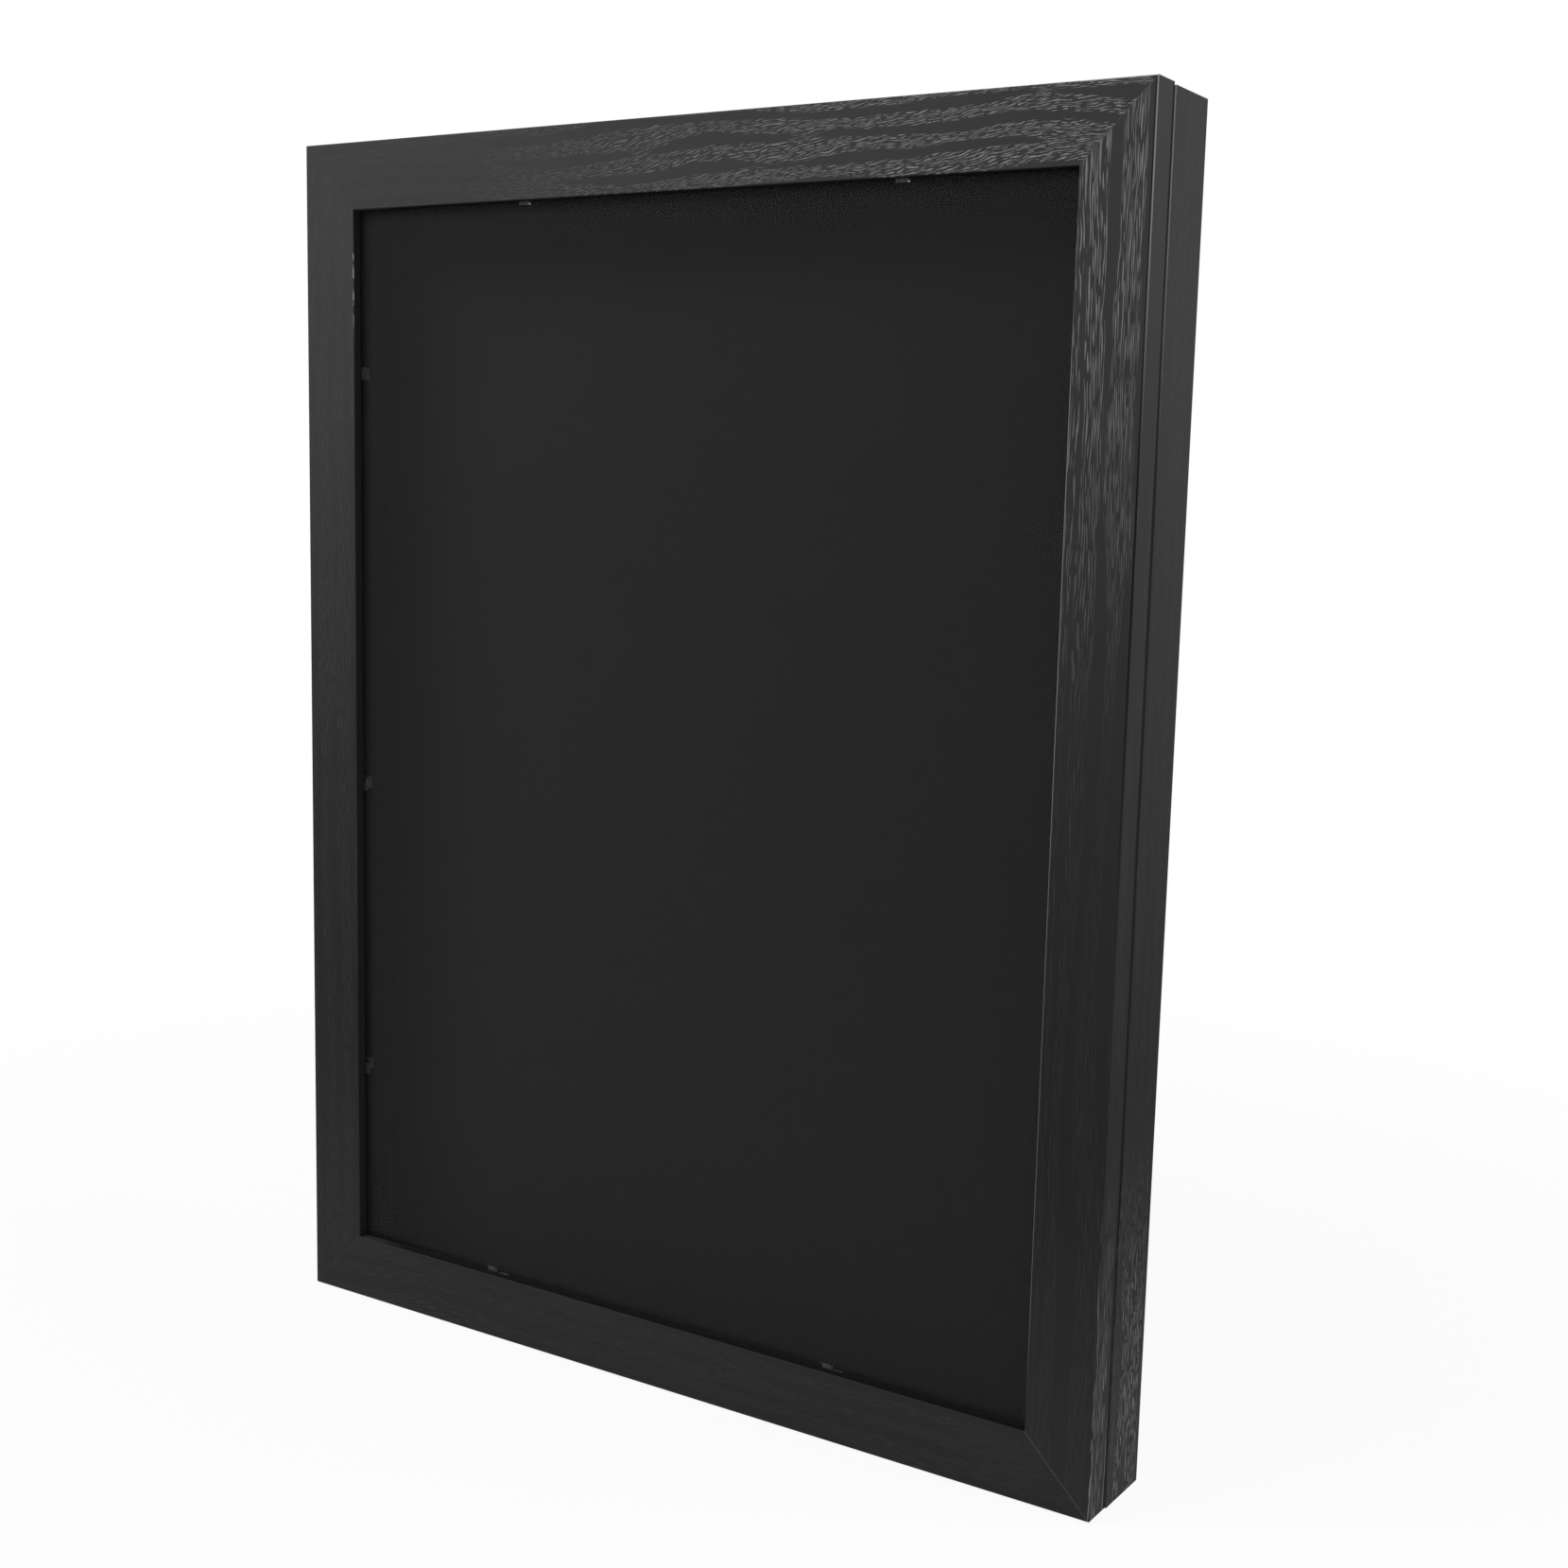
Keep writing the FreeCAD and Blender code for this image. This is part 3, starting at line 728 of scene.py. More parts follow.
def plated_finish(name, colour, rough, grain_length):
    """Plated steel: fine drawn lines, cloudy tone and a few handling marks."""
    even = {"Metallic": 1.0}
    material, graph, shader = new_finish(name, even)
    place, _ = object_place(graph)
    drawn = graph.noise(graph.scaled(place, 0.0004, 0.0004, grain_length), detail=2.0, flat=False)
    cloud = graph.noise(graph.scaled(place, 0.006, 0.006, 0.006), detail=3.0, flat=False)
    marks = graph.step(graph.noise(graph.scaled(place, 0.002, 0.002, 0.003), flat=False), 0.62, 0.70)
    dark = tuple(0.62 * c for c in colour)
    toned = graph.blend(graph.between(cloud, 0.1, 0.9), dark, colour)
    graph.feed(shader.inputs["Base Color"], graph.blend(graph.every(marks, 0.3), toned, dark))
    graph.feed(shader.inputs["Roughness"], graph.between(drawn, rough - 0.08, rough + 0.12))
    graph.feed(shader.inputs["Normal"], graph.bump(drawn, 0.00002))
    return material


def paint_finish(name, colour):
    """Thin black paint on steel, with a fine orange peel."""
    even = {"Specular IOR Level": 0.5}
    material, graph, shader = new_finish(name, even)
    place, _ = object_place(graph)
    peel = graph.noise(place, scale=1400.0, detail=2.0, flat=False)
    rub = graph.noise(place, scale=240.0, detail=3.0, flat=False)
    bright = tuple(2.2 * c for c in colour)
    graph.feed(shader.inputs["Base Color"], graph.blend(graph.step(rub, 0.45, 0.75), colour, bright))
    graph.feed(shader.inputs["Roughness"], graph.between(rub, 0.32, 0.50))
    graph.feed(shader.inputs["Normal"], graph.bump(peel, 0.00002))
    return material


def felt_finish(colour):
    """Pressed felt: short fibres in every direction, a soft cloudy nap and a little lint."""
    even = {"Specular IOR Level": 0.1, "Sheen Weight": 0.04, "Sheen Roughness": 0.6}
    material, graph, shader = new_finish("black_felt_cloth", even)
    place, _ = object_place(graph)
    fibres = graph.noise(place, scale=1500.0, detail=3.0, roughness=0.7, flat=False)
    tufts = graph.cells(place, scale=420.0, flat=False)
    nap = graph.noise(place, scale=9.0, detail=2.0, flat=False)
    dark = tuple(0.88 * c for c in colour)
    bright = tuple(1.12 * c for c in colour)
    mixed = graph.calc("MULTIPLY_ADD", fibres, 0.8, graph.calc("MULTIPLY", nap, 0.2))
    graph.feed(shader.inputs["Base Color"], graph.blend(graph.step(mixed, 0.2, 0.8), dark, bright))
    graph.feed(shader.inputs["Roughness"], graph.between(fibres, 0.86, 1.0))
    pile = graph.calc("ADD", fibres, graph.calc("MULTIPLY", tufts, 0.5))
    graph.feed(shader.inputs["Normal"], graph.bump(pile, 0.00004))
    return material


def board_finish(name, colour, fibre_size, rough):
    """Pressed board: matted fibres of one size with darker flecks."""
    even = {"Specular IOR Level": 0.35}
    material, graph, shader = new_finish(name, even)
    place, _ = object_place(graph)
    mat = graph.noise(place, scale=1 / fibre_size, detail=4.0, roughness=0.65, flat=False)
    flecks = graph.step(graph.cells(place, scale=0.35 / fibre_size, flat=False), 0.22, 0.12)
    cloud = graph.noise(place, scale=7.0, detail=2.0, flat=False)
    dark = tuple(0.6 * c for c in colour)
    pale = tuple(1.35 * c for c in colour)
    pressed = graph.blend(graph.calc("MULTIPLY_ADD", mat, 0.7, graph.every(cloud, 0.3)), dark, pale)
    graph.feed(shader.inputs["Base Color"], graph.blend(graph.every(flecks, 0.5), pressed, dark))
    graph.feed(shader.inputs["Roughness"], graph.between(mat, rough - 0.12, rough + 0.12))
    graph.feed(shader.inputs["Normal"], graph.bump(mat, 0.00008))
    return material


def kept_finish(name, make, *values):
    """A finish that several pieces share, made once."""
    return bpy.data.materials.get(name) or make(*values)


def zinc_finish(metal):
    return kept_finish("zinc_plate", plated_finish, "zinc_plate", tuple(metal.zinc), 0.34, 0.004)


def dress(name, material):
    """Gives a piece of the frame its finish."""
    materials = NODES[name].data.materials
    materials.clear()
    materials.append(material)


# Fasteners


def solids_of(name):
    """The corner points of each separate solid in a piece of the frame."""
    copy = bmesh.new()
    copy.from_mesh(NODES[name].data)
    bmesh.ops.remove_doubles(copy, verts=copy.verts, dist=1e-6)
    unseen = set(copy.verts)
    solids = []
    while unseen:
        reached = [unseen.pop()]
        for vertex in reached:
            for edge in vertex.link_edges:
                other = edge.other_vert(vertex)
                if other in unseen:
                    unseen.remove(other)
                    reached.append(other)
        solids.append([vertex.co.copy() for vertex in reached])
    copy.free()
    return sorted(solids, key=lambda points: tuple(round(v, 5) for v in box_of(points)[0]))


def box_of(points):
    """Lowest and highest corner of some points."""
    low = Vector([min(p[i] for p in points) for i in range(3)])
    high = Vector([max(p[i] for p in points) for i in range(3)])
    return low, high


def fastener_places(name):
    """Each fastener's head middle, direction, length and head radius, from its solid."""
    places = []
    for points in solids_of(name):
        low, high = box_of(points)
        size = high - low
        axis = max(range(3), key=lambda i: size[i])
        across = [i for i in range(3) if i != axis]
        middle = (low + high) / 2
        near = [p for p in points if p[axis] < low[axis] + 0.25 * size[axis]]
        reach = max((p[across[0]] - middle[across[0]]) for p in near)
        radius = size[across[0]] / 2
        direction = Vector((0, 0, 0))
        direction[axis] = 1.0 if reach > 0.9 * radius else -1.0
        middle[axis] = low[axis] if direction[axis] > 0 else high[axis]
        places.append((middle, direction, size[axis], radius))
    return places


def lathe(outline, steps):
    """A closed solid turned about Z from (radius, height) points that start and end on Z."""
    mesh = bmesh.new()
    rings = []
    for radius, height in outline:
        count = 1 if radius == 0 else steps
        turns = [2 * math.pi * i / steps for i in range(count)]
        ring = [(radius * math.cos(t), radius * math.sin(t), height) for t in turns]
        rings.append([mesh.verts.new(point) for point in ring])
    for first, second in zip(rings, rings[1:]):
        for i in range(steps):
            j = (i + 1) % steps
            corners = [first[i % len(first)], first[j % len(first)]]
            corners += [second[j % len(second)], second[i % len(second)]]
            mesh.faces.new(list(dict.fromkeys(corners)))
    bmesh.ops.recalc_face_normals(mesh, faces=mesh.faces)
    made = bpy.data.meshes.new("blank")
    mesh.to_mesh(made)
    mesh.free()
    return bpy.data.objects.new("blank", made)


def pointed_end(radius, length):
    """The outline of a shank's point."""
    return [(radius, length - 2 * radius), (0.25 * radius, length), (0, length)]


def sunk_outline(radius, shank, length):
    """A flat countersunk head on a pointed shank."""
    soft = 0.06 * radius
    head_height = radius - shank
    head = [(0, 0), (radius - soft, 0), (radius, soft), (shank, head_height)]
    return head + pointed_end(shank, length)


def pan_outline(radius, shank, length):
    """A domed head on a pointed shank."""
    rise = 0.58 * radius
    turns = [math.radians(a) for a in (18, 36, 54, 72, 90)]
    dome = [(radius * math.sin(t), rise * (1 - math.cos(t))) for t in turns]
    return [(0, 0)] + dome + [(shank, rise)] + pointed_end(shank, length)


def nail_outline(radius, shank, length):
    """A thin, slightly domed head on a pointed shank."""
    thick = 0.3 * radius
    head = [(0, 0), (0.6 * radius, 0.1 * thick), (0.93 * radius, 0.35 * thick)]
    head += [(radius, 0.6 * thick), (0.95 * radius, thick), (shank, thick)]
    return head + pointed_end(shank, length)


def spread_tree():
    """A Geometry Nodes tree that sets one fastener on every point, each turned at random."""
    tree = bpy.data.node_groups.new("Fastener set", "GeometryNodeTree")
    new_socket = tree.interface.new_socket
    new_socket("Geometry", in_out="INPUT", socket_type="NodeSocketGeometry")
    new_socket("Fastener", in_out="INPUT", socket_type="NodeSocketObject")
    for name in ("Arm Length", "Arm Width", "Arm Depth"):
        new_socket(name, in_out="INPUT", socket_type="NodeSocketFloat")
    new_socket("Seed", in_out="INPUT", socket_type="NodeSocketInt")
    new_socket("Finish", in_out="INPUT", socket_type="NodeSocketMaterial")
    new_socket("Geometry", in_out="OUTPUT", socket_type="NodeSocketGeometry")
    graph = Graph(tree)
    given = graph.add("NodeGroupInput").outputs
    solid = graph.add("GeometryNodeObjectInfo", {"Object": given["Fastener"]}).outputs["Geometry"]
    double_depth = graph.calc("MULTIPLY", given["Arm Depth"], 2.0)
    long_size = graph.vector(given["Arm Length"], given["Arm Width"], double_depth)
    cross_size = graph.vector(given["Arm Width"], given["Arm Length"], double_depth)
    arms = [graph.add("GeometryNodeMeshCube", {"Size": size}) for size in (long_size, cross_size)]
    cut = graph.add("GeometryNodeMeshBoolean", {"Mesh 1": solid}, operation="DIFFERENCE")
    for arm in arms:
        tree.links.new(arm.outputs["Mesh"], cut.inputs["Mesh 2"])
    turn = graph.add("GeometryNodeInputNamedAttribute", {"Name": "turn"}, data_type="QUATERNION")
    spin = graph.add(
        "FunctionNodeRandomValue",
        {"Min": 0.0, "Max": math.pi / 2, "Seed": given["Seed"]},
        data_type="FLOAT",
    )
    spin_value = next(o for o in spin.outputs if o.enabled)
    own = graph.add("FunctionNodeAxisAngleToRotation", {"Axis": (0, 0, 1), "Angle": spin_value})
    turned = graph.add(
        "FunctionNodeRotateRotation",
        {0: next(o for o in turn.outputs if o.enabled), 1: own.outputs[0]},
        rotation_space="LOCAL",
    )
    sockets = {
        "Points": given["Geometry"],
        "Instance": cut.outputs["Mesh"],
        "Rotation": turned.outputs[0],
    }
    copies = graph.add("GeometryNodeInstanceOnPoints", sockets).outputs[0]
    real = graph.add("GeometryNodeRealizeInstances", {0: copies}).outputs[0]
    finished = graph.add("GeometryNodeSetMaterial", {"Geometry": real, "Material": given["Finish"]})
    graph.feed(graph.add("NodeGroupOutput").inputs[0], finished.outputs[0])
    return tree


def points_object(name, places):
    """An object with a vertex at each place, which carries its turn; places are (point, turn)."""
    mesh = bpy.data.meshes.new(name)
    mesh.from_pydata([tuple(point) for point, _ in places], [], [])
    turns = mesh.attributes.new("turn", "QUATERNION", "POINT")
    for item, (_, turn) in zip(turns.data, places):
        item.value = tuple(turn)
    made = bpy.data.objects.new(name, mesh)
    bpy.context.scene.collection.objects.link(made)
    return made


def run_tree(tree, made, values):
    """Runs a Geometry Nodes tree on an object and keeps the result as its plain mesh."""
    modifier = made.modifiers.new(tree.name, "NODES")
    modifier.node_group = tree
    for item in tree.interface.items_tree:
        if item.in_out == "INPUT" and item.name in values:
            modifier[item.identifier] = values[item.name]
    evaluated = made.evaluated_get(bpy.context.evaluated_depsgraph_get())
    result = bpy.data.meshes.new_from_object(evaluated)
    made.modifiers.remove(modifier)
    made.data = result
    made.data.name = made.name
    if not result.polygons:
        raise RuntimeError(made.name + " came out empty")
    if "turn" in result.attributes:
        result.attributes.remove(result.attributes["turn"])
    return made


def fastener_set(name, outline, finish, metal, arm_share):
    """Every fastener of one piece of the frame, as one plain mesh that replaces it."""
    places = fastener_places(name)
    _, _, length, radius = places[0]
    shank = metal.shank_radius if arm_share else metal.nail_radius
    blank = lathe(outline(radius, shank, length), 24)
    points = [(point, aim.to_track_quat("Z", "Y")) for point, aim, _, _ in places]
    made = points_object(name + "_set", points)
    tree = bpy.data.node_groups.get("Fastener set") or spread_tree()
    arm = 2 * arm_share * radius
    values = {
        "Fastener": blank,
        "Arm Length": arm,
        "Arm Width": metal.recess_width if arm else 0.0,
        "Arm Depth": metal.recess_depth if arm else 0.0,
        "Seed": metal.seed,
        "Finish": finish,
    }
    run_tree(tree, made, values)
    bpy.data.objects.remove(blank)
    return stand_for(made, name)


def stand_for(made, name):
    """Puts a new piece in the place of one of the frame's, on the same body."""
    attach(made, NODES[name]["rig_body"])
    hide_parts(name)
    return made


# Operators


class BuildOperator:
    """What every operator of the shadow box shares."""

    bl_options = {"REGISTER", "UNDO"}


class SHADOWBOX_OT_door_rails(BuildOperator, bpy.types.Operator):
    """Wrap the four rails of the door in black oak grain"""

    bl_idname = "shadow_box.door_rails"
    bl_label = "Door rails"

    def execute(self, context):
        settings = context.scene.shadow_box
        grain = bpy.data.node_groups.get("Oak grain") or oak_grain_tree(settings.wrap)
        for side, name in DOOR_SIDES.items():
            dress(name, wrap_finish(name, side, grain, settings, DOOR_MIDDLE, door_zones))
        return {"FINISHED"}


class SHADOWBOX_OT_case_boards(BuildOperator, bpy.types.Operator):
    """Wrap the four boards of the case in black oak grain"""

    bl_idname = "shadow_box.case_boards"
    bl_label = "Case boards"

    def execute(self, context):
        settings = context.scene.shadow_box
        grain = bpy.data.node_groups.get("Oak grain") or oak_grain_tree(settings.wrap)
        for side, name in CASE_SIDES.items():
            dress(name, wrap_finish(name, side, grain, settings, CASE_MIDDLE, case_zones))
        return {"FINISHED"}


class SHADOWBOX_OT_glazing(BuildOperator, bpy.types.Operator):
    """Give the clear sheet its finish"""

    bl_idname = "shadow_box.glazing"
    bl_label = "Glazing"

    def execute(self, context):
        dress("glazing_sheet", glazing_finish())
        return {"FINISHED"}


class SHADOWBOX_OT_screws(BuildOperator, bpy.types.Operator):
    """Make every screw with its cross recess"""

    bl_idname = "shadow_box.screws"
    bl_label = "Screws"

    def execute(self, context):
        metal = context.scene.shadow_box.metal
        zinc = zinc_finish(metal)
        black = kept_finish("clip_paint", paint_finish, "clip_paint", tuple(metal.clip_paint))
        fastener_set("glazing_clip_screws", pan_outline, black, metal, 0.6)
        for name in ("hinge_door_screws", "hinge_case_screws", "keyhole_plate_screws"):
            fastener_set(name, sunk_outline, zinc, metal, 0.6)
        return {"FINISHED"}


class SHADOWBOX_OT_nails(BuildOperator, bpy.types.Operator):
    """Make the nails of the back panel and finish the corner nails"""

    bl_idname = "shadow_box.nails"
    bl_label = "Nails"

    def execute(self, context):
        metal = context.scene.shadow_box.metal
        zinc = zinc_finish(metal)
        fastener_set("back_panel_nails", nail_outline, zinc, metal, 0.0)
        dress("door_corner_nails", zinc)
        dress("case_corner_nails", zinc)
        return {"FINISHED"}


class SHADOWBOX_OT_hinges(BuildOperator, bpy.types.Operator):
    """Finish the three hinges and their pins"""

    bl_idname = "shadow_box.hinges"
    bl_label = "Hinges"

    def execute(self, context):
        zinc = zinc_finish(context.scene.shadow_box.metal)
        for level in LEVELS:
            for part in ("hinge_door_leaf_", "hinge_case_leaf_", "hinge_pin_"):
                dress(part + level, zinc)
        return {"FINISHED"}


class SHADOWBOX_OT_catches(BuildOperator, bpy.types.Operator):
    """Finish the magnets and the discs that they hold"""

    bl_idname = "shadow_box.catches"
    bl_label = "Catches"

    def execute(self, context):
        metal = context.scene.shadow_box.metal
        nickel = plated_finish("nickel_plate", tuple(metal.nickel), 0.16, 0.0005)
        dress("catch_magnets", nickel)
        dress("catch_strikes", zinc_finish(metal))
        return {"FINISHED"}


class SHADOWBOX_OT_hanging_plates(BuildOperator, bpy.types.Operator):
    """Finish the two keyhole plates"""

    bl_idname = "shadow_box.hanging_plates"
    bl_label = "Hanging plates"

    def execute(self, context):
        zinc = zinc_finish(context.scene.shadow_box.metal)
        dress("keyhole_plate_left", zinc)
        dress("keyhole_plate_right", zinc)
        return {"FINISHED"}


class SHADOWBOX_OT_boards(BuildOperator, bpy.types.Operator):
    """Finish the back panel and the pin board"""

    bl_idname = "shadow_box.boards"
    bl_label = "Boards"

    def execute(self, context):
        lining = context.scene.shadow_box.lining
        hardboard = board_finish("black_hardboard", tuple(lining.hardboard), 0.0012, 0.55)
        dress("back_panel", hardboard)
        fibre_board = board_finish("soft_fibre_board", tuple(lining.fibre_board), 0.0025, 0.85)
        dress("pin_board", fibre_board)
        return {"FINISHED"}


def felt_mesh(low, high, fold, ease):
    """A sheet over the front of a board and back along its four edges."""
    mesh = bmesh.new()
    columns, rows = 36, 46
    grid = []
    for j in range(rows + 1):
        z = low.z + (high.z - low.z) * j / rows
        line = []
        for i in range(columns + 1):
            x = low.x + (high.x - low.x) * i / columns
            held = math.sin(math.pi * i / columns) * math.sin(math.pi * j / rows)
            swell = math.sin(11.0 * x + 5.0 * z) * math.sin(9.0 * z - 4.0 * x + 1.0)
            line.append(mesh.verts.new((x, low.y + ease * held * (1 + swell), z)))
        grid.append(line)
    for j in range(rows):
        for i in range(columns):
            corners = (grid[j][i], grid[j][i + 1], grid[j + 1][i + 1], grid[j + 1][i])
            mesh.faces.new(corners)
    rim = [edge for edge in mesh.edges if edge.is_boundary]
    turned = bmesh.ops.extrude_edge_only(mesh, edges=rim)["geom"]
    for part in turned:
        if isinstance(part, bmesh.types.BMVert):
            part.co.y = high.y
    bmesh.ops.bevel(mesh, geom=rim, offset=fold, segments=4, profile=0.5, affect="EDGES")
    bmesh.ops.remove_doubles(mesh, verts=mesh.verts, dist=1e-6)
    bmesh.ops.recalc_face_normals(mesh, faces=mesh.faces)
    made = bpy.data.meshes.new("pin_board_felt_cloth")
    mesh.to_mesh(made)
    mesh.free()
    return made


class SHADOWBOX_OT_felt(BuildOperator, bpy.types.Operator):
    """Stretch the black felt over the pin board"""

    bl_idname = "shadow_box.felt"
    bl_label = "Felt"

    def execute(self, context):
        lining = context.scene.shadow_box.lining
        low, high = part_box("pin_board_felt")
        made = bpy.data.objects.new(
            "pin_board_felt_cloth", felt_mesh(low, high, lining.felt_fold, lining.felt_ease)
        )
        context.scene.collection.objects.link(made)
        made.data.materials.append(felt_finish(tuple(lining.felt)))
        thicken = made.modifiers.new("Felt thickness", "SOLIDIFY")
        thicken.thickness = lining.felt_thickness
        thicken.offset = -1.0
        stand_for(made, "pin_board_felt")
        return {"FINISHED"}


def clip_tree():
    """A Geometry Nodes tree that bends one clip from strip and sets it on every point."""
    tree = bpy.data.node_groups.new("Glazing clips", "GeometryNodeTree")
    new_socket = tree.interface.new_socket
    new_socket("Geometry", in_out="INPUT", socket_type="NodeSocketGeometry")
    for name in ("Width", "Metal", "Reach", "Height", "Bend"):
        new_socket(name, in_out="INPUT", socket_type="NodeSocketFloat")
    new_socket("Paint", in_out="INPUT", socket_type="NodeSocketMaterial")
    new_socket("Bare Steel", in_out="INPUT", socket_type="NodeSocketMaterial")
    new_socket("Geometry", in_out="OUTPUT", socket_type="NodeSocketGeometry")
    graph = Graph(tree)
    given = graph.add("NodeGroupInput").outputs
    half_metal = graph.calc("MULTIPLY", given["Metal"], 0.5)
    line = graph.add("GeometryNodeMeshLine", {"Count": 3}).outputs[0]
    index = graph.add("GeometryNodeInputIndex").outputs[0]
    on_sheet = graph.calc("SUBTRACT", 1.0, graph.calc("MINIMUM", index, 1.0))
    on_wall = graph.calc("MAXIMUM", graph.calc("SUBTRACT", index, 1.0), 0.0)
    inward = graph.calc("SUBTRACT", given["Reach"], half_metal)
    backward = graph.calc("SUBTRACT", given["Height"], half_metal)
    corner = graph.vector(
        graph.calc("MULTIPLY_ADD", on_sheet, inward, half_metal),
        graph.calc("MULTIPLY_ADD", on_wall, backward, half_metal),
    )
    path = graph.add("GeometryNodeSetPosition", {"Geometry": line, "Position": corner}).outputs[0]
    curve = graph.add("GeometryNodeMeshToCurve", {"Mesh": path}).outputs[0]
    sockets = {"Curve": curve, "Radius": given["Bend"], "Limit Radius": True, "Count": 6}
    bent = graph.add("GeometryNodeFilletCurve", sockets, mode="POLY").outputs[0]
    strip = graph.add(
        "GeometryNodeCurvePrimitiveQuadrilateral",
        {"Width": given["Metal"], "Height": given["Width"]},
    ).outputs[0]
    sockets = {"Curve": strip, "Radius": graph.calc("MULTIPLY", given["Metal"], 0.45), "Count": 4}
    rolled = graph.add("GeometryNodeFilletCurve", sockets, mode="POLY").outputs[0]
    rolled = graph.add("GeometryNodeSubdivideCurve", {"Curve": rolled, "Cuts": 5}).outputs[0]
    sockets = {"Curve": bent, "Profile Curve": rolled, "Fill Caps": True}
    clip = graph.add("GeometryNodeCurveToMesh", sockets).outputs[0]
    painted = graph.add("GeometryNodeSetMaterial", {"Geometry": clip, "Material": given["Paint"]})
    spot = graph.add("GeometryNodeInputPosition").outputs[0]
    xyz = graph.add("ShaderNodeSeparateXYZ", {0: spot}).outputs
    sockets = {
        "Geometry": painted.outputs[0],
        "Selection": graph.calc("GREATER_THAN", xyz[2], graph.calc("MULTIPLY", given["Width"], 0.36)),
        "Material": given["Bare Steel"],
    }
    sheared = graph.add("GeometryNodeSetMaterial", sockets)
    turn = graph.add("GeometryNodeInputNamedAttribute", {"Name": "turn"}, data_type="QUATERNION")
    sockets = {
        "Points": given["Geometry"],
        "Instance": sheared.outputs[0],
        "Rotation": next(o for o in turn.outputs if o.enabled),
    }
    copies = graph.add("GeometryNodeInstanceOnPoints", sockets).outputs[0]
    real = graph.add("GeometryNodeRealizeInstances", {0: copies}).outputs[0]
    graph.feed(graph.add("NodeGroupOutput").inputs[0], real)
    return tree


def clip_places():
    """Each clip's bend corner and turn: X points inwards over the sheet, Y backwards."""
    places = []
    centre = Vector((0, 0, DOOR_MIDDLE))
    for points in solids_of("glazing_clips"):
        low, high = box_of(points)
        middle = (low + high) / 2
        size = high - low
        upright = size.z < size.x
        inward = Vector((-math.copysign(1, middle.x - centre.x), 0, 0))
        if not upright:
            inward = Vector((0, 0, -math.copysign(1, middle.z - centre.z)))
        axis = 0 if upright else 2
        corner = Vector(middle)
        corner.y = low.y
        corner[axis] = low[axis] if inward[axis] > 0 else high[axis]
        backward = Vector((0, 1, 0))
        along = inward.cross(backward)
        turn = Matrix((inward, backward, along)).transposed().to_quaternion()
        places.append((corner, turn))
    return places


def clip_sizes():
    """A clip's width along its rail, its reach inwards and its height backwards."""
    low, high = box_of(solids_of("glazing_clips")[0])
    size = high - low
    return max(size.x, size.z), min(size.x, size.z), size.y


class SHADOWBOX_OT_clips(BuildOperator, bpy.types.Operator):
    """Bend the clips that hold the glazing from behind"""

    bl_idname = "shadow_box.clips"
    bl_label = "Glazing clips"

    def execute(self, context):
        metal = context.scene.shadow_box.metal
        made = points_object("glazing_clip_set", clip_places())
        width, reach, height = clip_sizes()
        values = {
            "Width": width,
            "Metal": metal.clip_metal,
            "Reach": reach,
            "Height": height,
            "Bend": metal.clip_bend,
            "Paint": kept_finish("clip_paint", paint_finish, "clip_paint", tuple(metal.clip_paint)),
            "Bare Steel": plated_finish("bare_steel", tuple(metal.bare_steel), 0.14, 0.001),
        }
        run_tree(clip_tree(), made, values)
        stand_for(made, "glazing_clips")
        return {"FINISHED"}


# Stage


def floor_finish(colour):
    """A pale floor that keeps the shadow near the object and fades into the white behind it."""
    material = bpy.data.materials.new("pale_floor")
    material.use_nodes = True
    graph = Graph(material.node_tree)
    material.node_tree.nodes.clear()
    place, xyz = object_place(graph)
    flat = graph.vector(xyz[0], xyz[1])
    far = graph.add("ShaderNodeVectorMath", {0: flat}, operation="LENGTH").outputs["Value"]
    white_share = graph.between(graph.step(far, 0.4, 1.6), 0.92, 1.0)
    paper = graph.noise(place, scale=60.0, detail=2.0, flat=False)
    shade = graph.blend(graph.every(paper, 0.03), tuple(colour), (1.0, 1.0, 1.0))
    sheet = graph.add("ShaderNodeBsdfDiffuse", {"Color": shade}).outputs[0]
    white = graph.add("ShaderNodeEmission", {"Color": (1.0, 1.0, 1.0, 1.0)}).outputs[0]
    share = graph.every(white_share, seen_directly(graph))
    mixed = graph.add("ShaderNodeMixShader", {0: share, 1: sheet, 2: white}).outputs[0]
    output = graph.add("ShaderNodeOutputMaterial")
    graph.feed(output.inputs["Surface"], mixed)
    return material


def seen_directly(graph):
    """1 for the camera's rays and for those mirrored or let through, 0 for the rest."""
    rays = graph.add("ShaderNodeLightPath").outputs
    mirrored = graph.calc("MAXIMUM", rays["Is Glossy Ray"], rays["Is Transmission Ray"])
    return graph.calc("MAXIMUM", rays["Is Camera Ray"], mirrored)


def white_world(strength):
    """Even grey light for the object and plain white behind it."""
    world = bpy.data.worlds.new("White room")
    world.use_nodes = True
    world.node_tree.nodes.clear()
    graph = Graph(world.node_tree)
    white = (1.0, 1.0, 1.0, 1.0)
    light = graph.add("ShaderNodeBackground", {"Color": white, "Strength": strength}).outputs[0]
    shown = graph.add("ShaderNodeBackground", {"Color": white, "Strength": 1.0}).outputs[0]
    sockets = {0: seen_directly(graph), 1: light, 2: shown}
    mixed = graph.add("ShaderNodeMixShader", sockets).outputs[0]
    graph.feed(graph.add("ShaderNodeOutputWorld").inputs["Surface"], mixed)
    return world


def softbox(name, place, aim, size, power):
    """A wide lamp that faces a point."""
    lamp = bpy.data.lights.new(name, "AREA")
    lamp.shape = "RECTANGLE"
    lamp.size, lamp.size_y = size
    lamp.energy = power
    made = bpy.data.objects.new(name, lamp)
    made.location = place
    made.rotation_euler = (Vector(aim) - Vector(place)).to_track_quat("-Z", "Y").to_euler()
    bpy.context.scene.collection.objects.link(made)


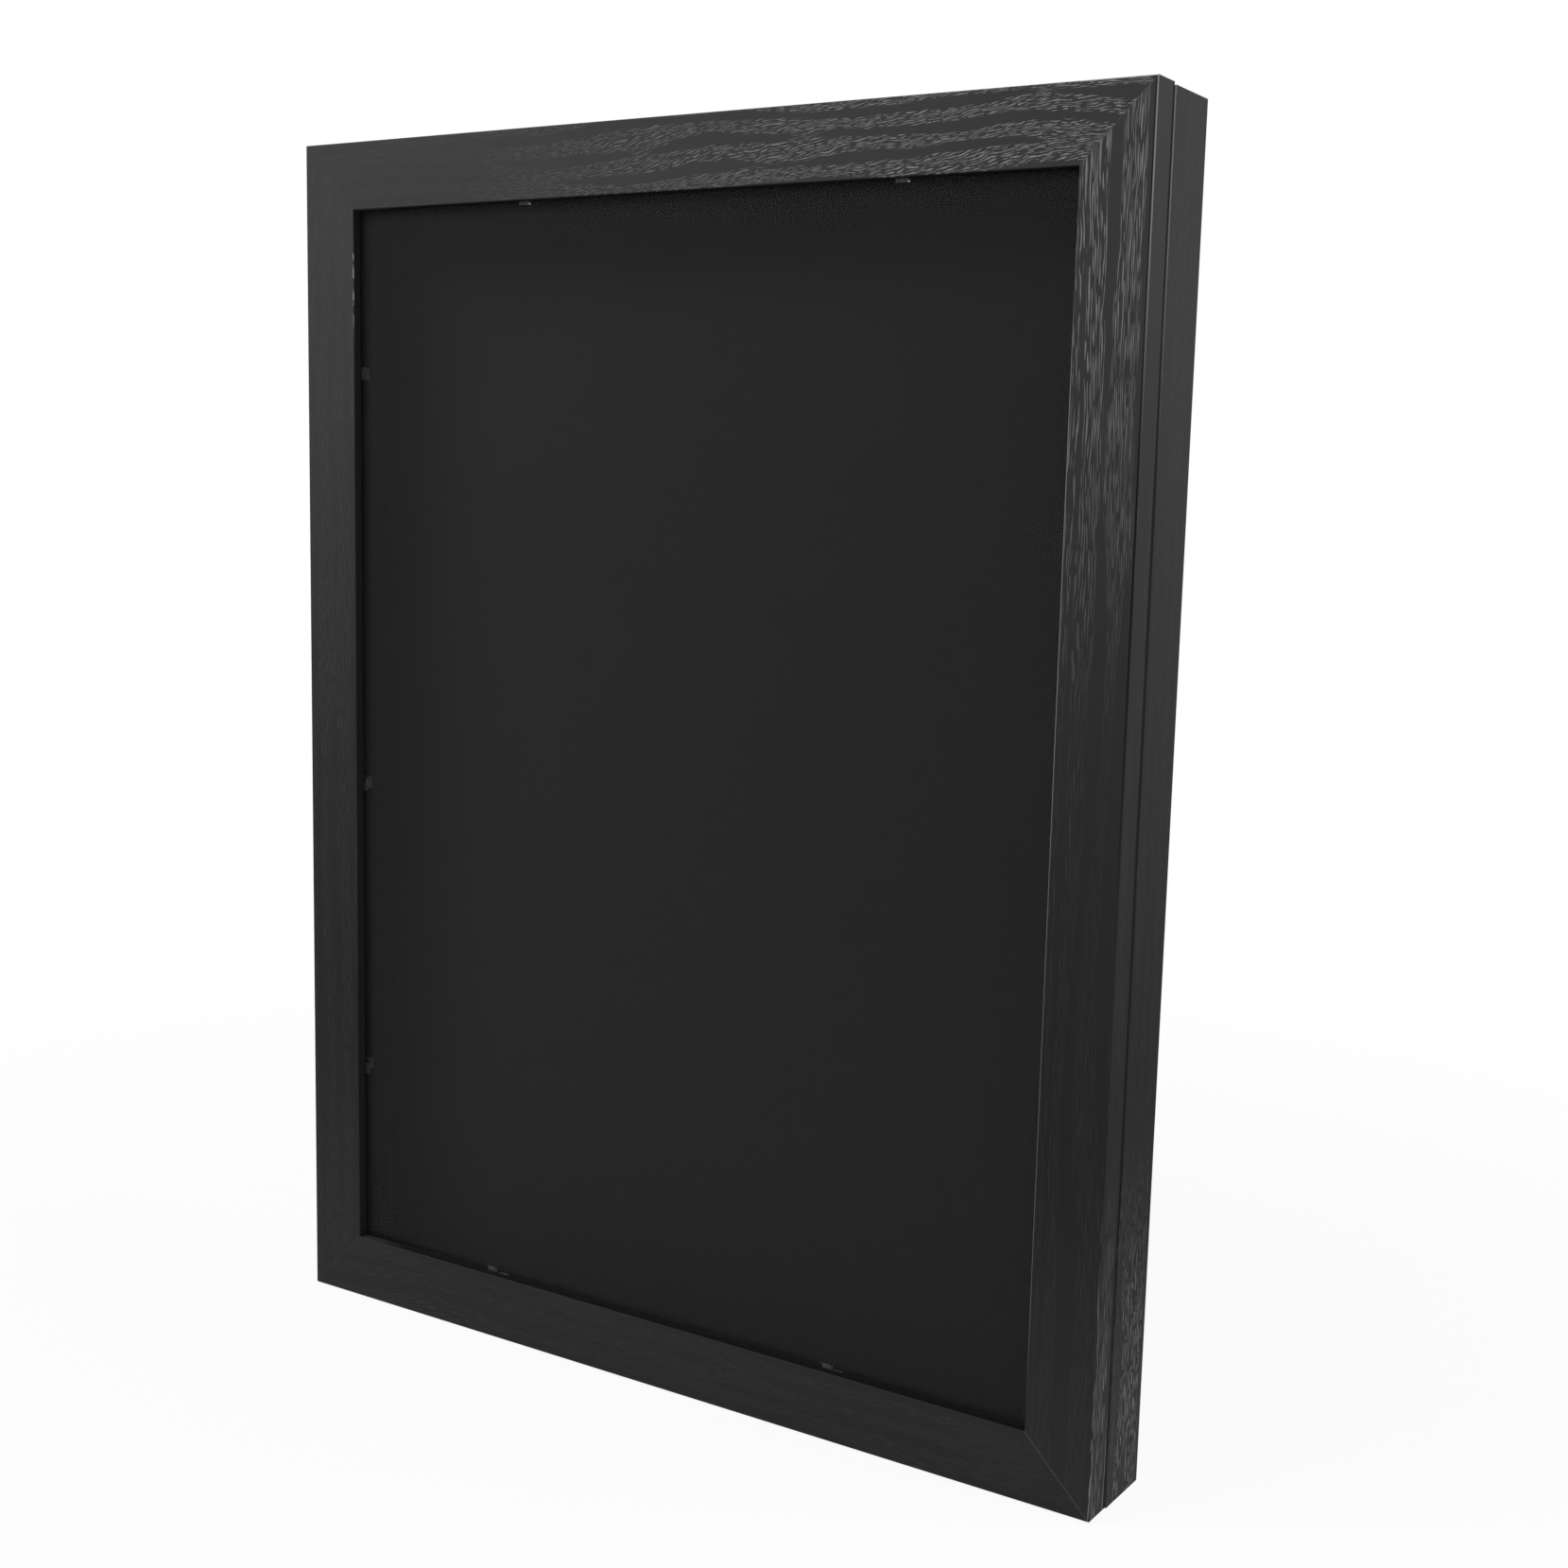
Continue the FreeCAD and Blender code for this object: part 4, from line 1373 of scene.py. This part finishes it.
PHOTO_SIZE = 1659
SENSOR_WIDTH = 36.0
VIEW_CENTRE = (934.5, 842.44)


def photo_camera(studio):
    """The camera of the photograph."""
    lens = bpy.data.cameras.new("Photograph")
    lens.sensor_width = SENSOR_WIDTH
    lens.lens = studio.focal_length
    lens.shift_x = (PHOTO_SIZE / 2 - VIEW_CENTRE[0]) / PHOTO_SIZE
    lens.shift_y = (VIEW_CENTRE[1] - PHOTO_SIZE / 2) / PHOTO_SIZE
    lens.clip_start = 0.05
    camera = bpy.data.objects.new("Photograph", lens)
    camera.location = studio.camera_place
    camera.rotation_euler = studio.camera_turn
    bpy.context.scene.collection.objects.link(camera)
    bpy.context.scene.camera = camera


class SHADOWBOX_OT_stage(BuildOperator, bpy.types.Operator):
    """Lay the floor, set the light and place the camera"""

    bl_idname = "shadow_box.stage"
    bl_label = "Stage"

    def execute(self, context):
        studio = context.scene.shadow_box.studio
        context.scene.view_settings.view_transform = "Standard"
        disc = bmesh.new()
        bmesh.ops.create_circle(disc, cap_ends=True, segments=96, radius=studio.floor_radius)
        mesh = bpy.data.meshes.new("floor")
        disc.to_mesh(mesh)
        disc.free()
        floor = bpy.data.objects.new("floor", mesh)
        context.scene.collection.objects.link(floor)
        mesh.materials.append(floor_finish(studio.floor))
        context.scene.world = white_world(studio.room_light)
        softbox("key_lamp", (-0.9, -1.2, 1.9), (0.0, 0.0, 0.8), (1.4, 0.7), studio.key_power)
        softbox("side_lamp", (1.2, 0.2, 1.75), (0.35, 0.0, 0.8), (0.7, 0.7), studio.side_power)
        photo_camera(studio)
        return {"FINISHED"}


class SHADOWBOX_PT_sidebar(bpy.types.Panel):
    """The shadow box's operators and settings"""

    bl_idname = "SHADOWBOX_PT_sidebar"
    bl_label = "Shadow box"
    bl_space_type = "VIEW_3D"
    bl_region_type = "UI"
    bl_category = "Shadow box"

    def draw(self, context):
        for operator in OPERATORS:
            self.layout.operator(operator.bl_idname)
        settings = context.scene.shadow_box
        for group in (settings.wrap, settings.lining, settings.metal, settings.studio):
            box = self.layout.box()
            for name in group.__annotations__:
                box.prop(group, name)


OPERATORS = (
    SHADOWBOX_OT_stage,
    SHADOWBOX_OT_door_rails,
    SHADOWBOX_OT_case_boards,
    SHADOWBOX_OT_glazing,
    SHADOWBOX_OT_clips,
    SHADOWBOX_OT_screws,
    SHADOWBOX_OT_nails,
    SHADOWBOX_OT_hinges,
    SHADOWBOX_OT_catches,
    SHADOWBOX_OT_hanging_plates,
    SHADOWBOX_OT_boards,
    SHADOWBOX_OT_felt,
)
SETTINGS = (WrapSettings, LiningSettings, MetalSettings, StudioSettings, ShadowBoxSettings)


def register():
    for item in (*SETTINGS, *OPERATORS, SHADOWBOX_PT_sidebar):
        bpy.utils.register_class(item)
    bpy.types.Scene.shadow_box = PointerProperty(type=ShadowBoxSettings)


def unregister():
    del bpy.types.Scene.shadow_box
    for item in reversed((*SETTINGS, *OPERATORS, SHADOWBOX_PT_sidebar)):
        bpy.utils.unregister_class(item)


def main():
    register()
    for operator in OPERATORS:
        group, name = operator.bl_idname.split(".")
        getattr(getattr(bpy.ops, group), name)()


if __name__ == "__main__":
    main()
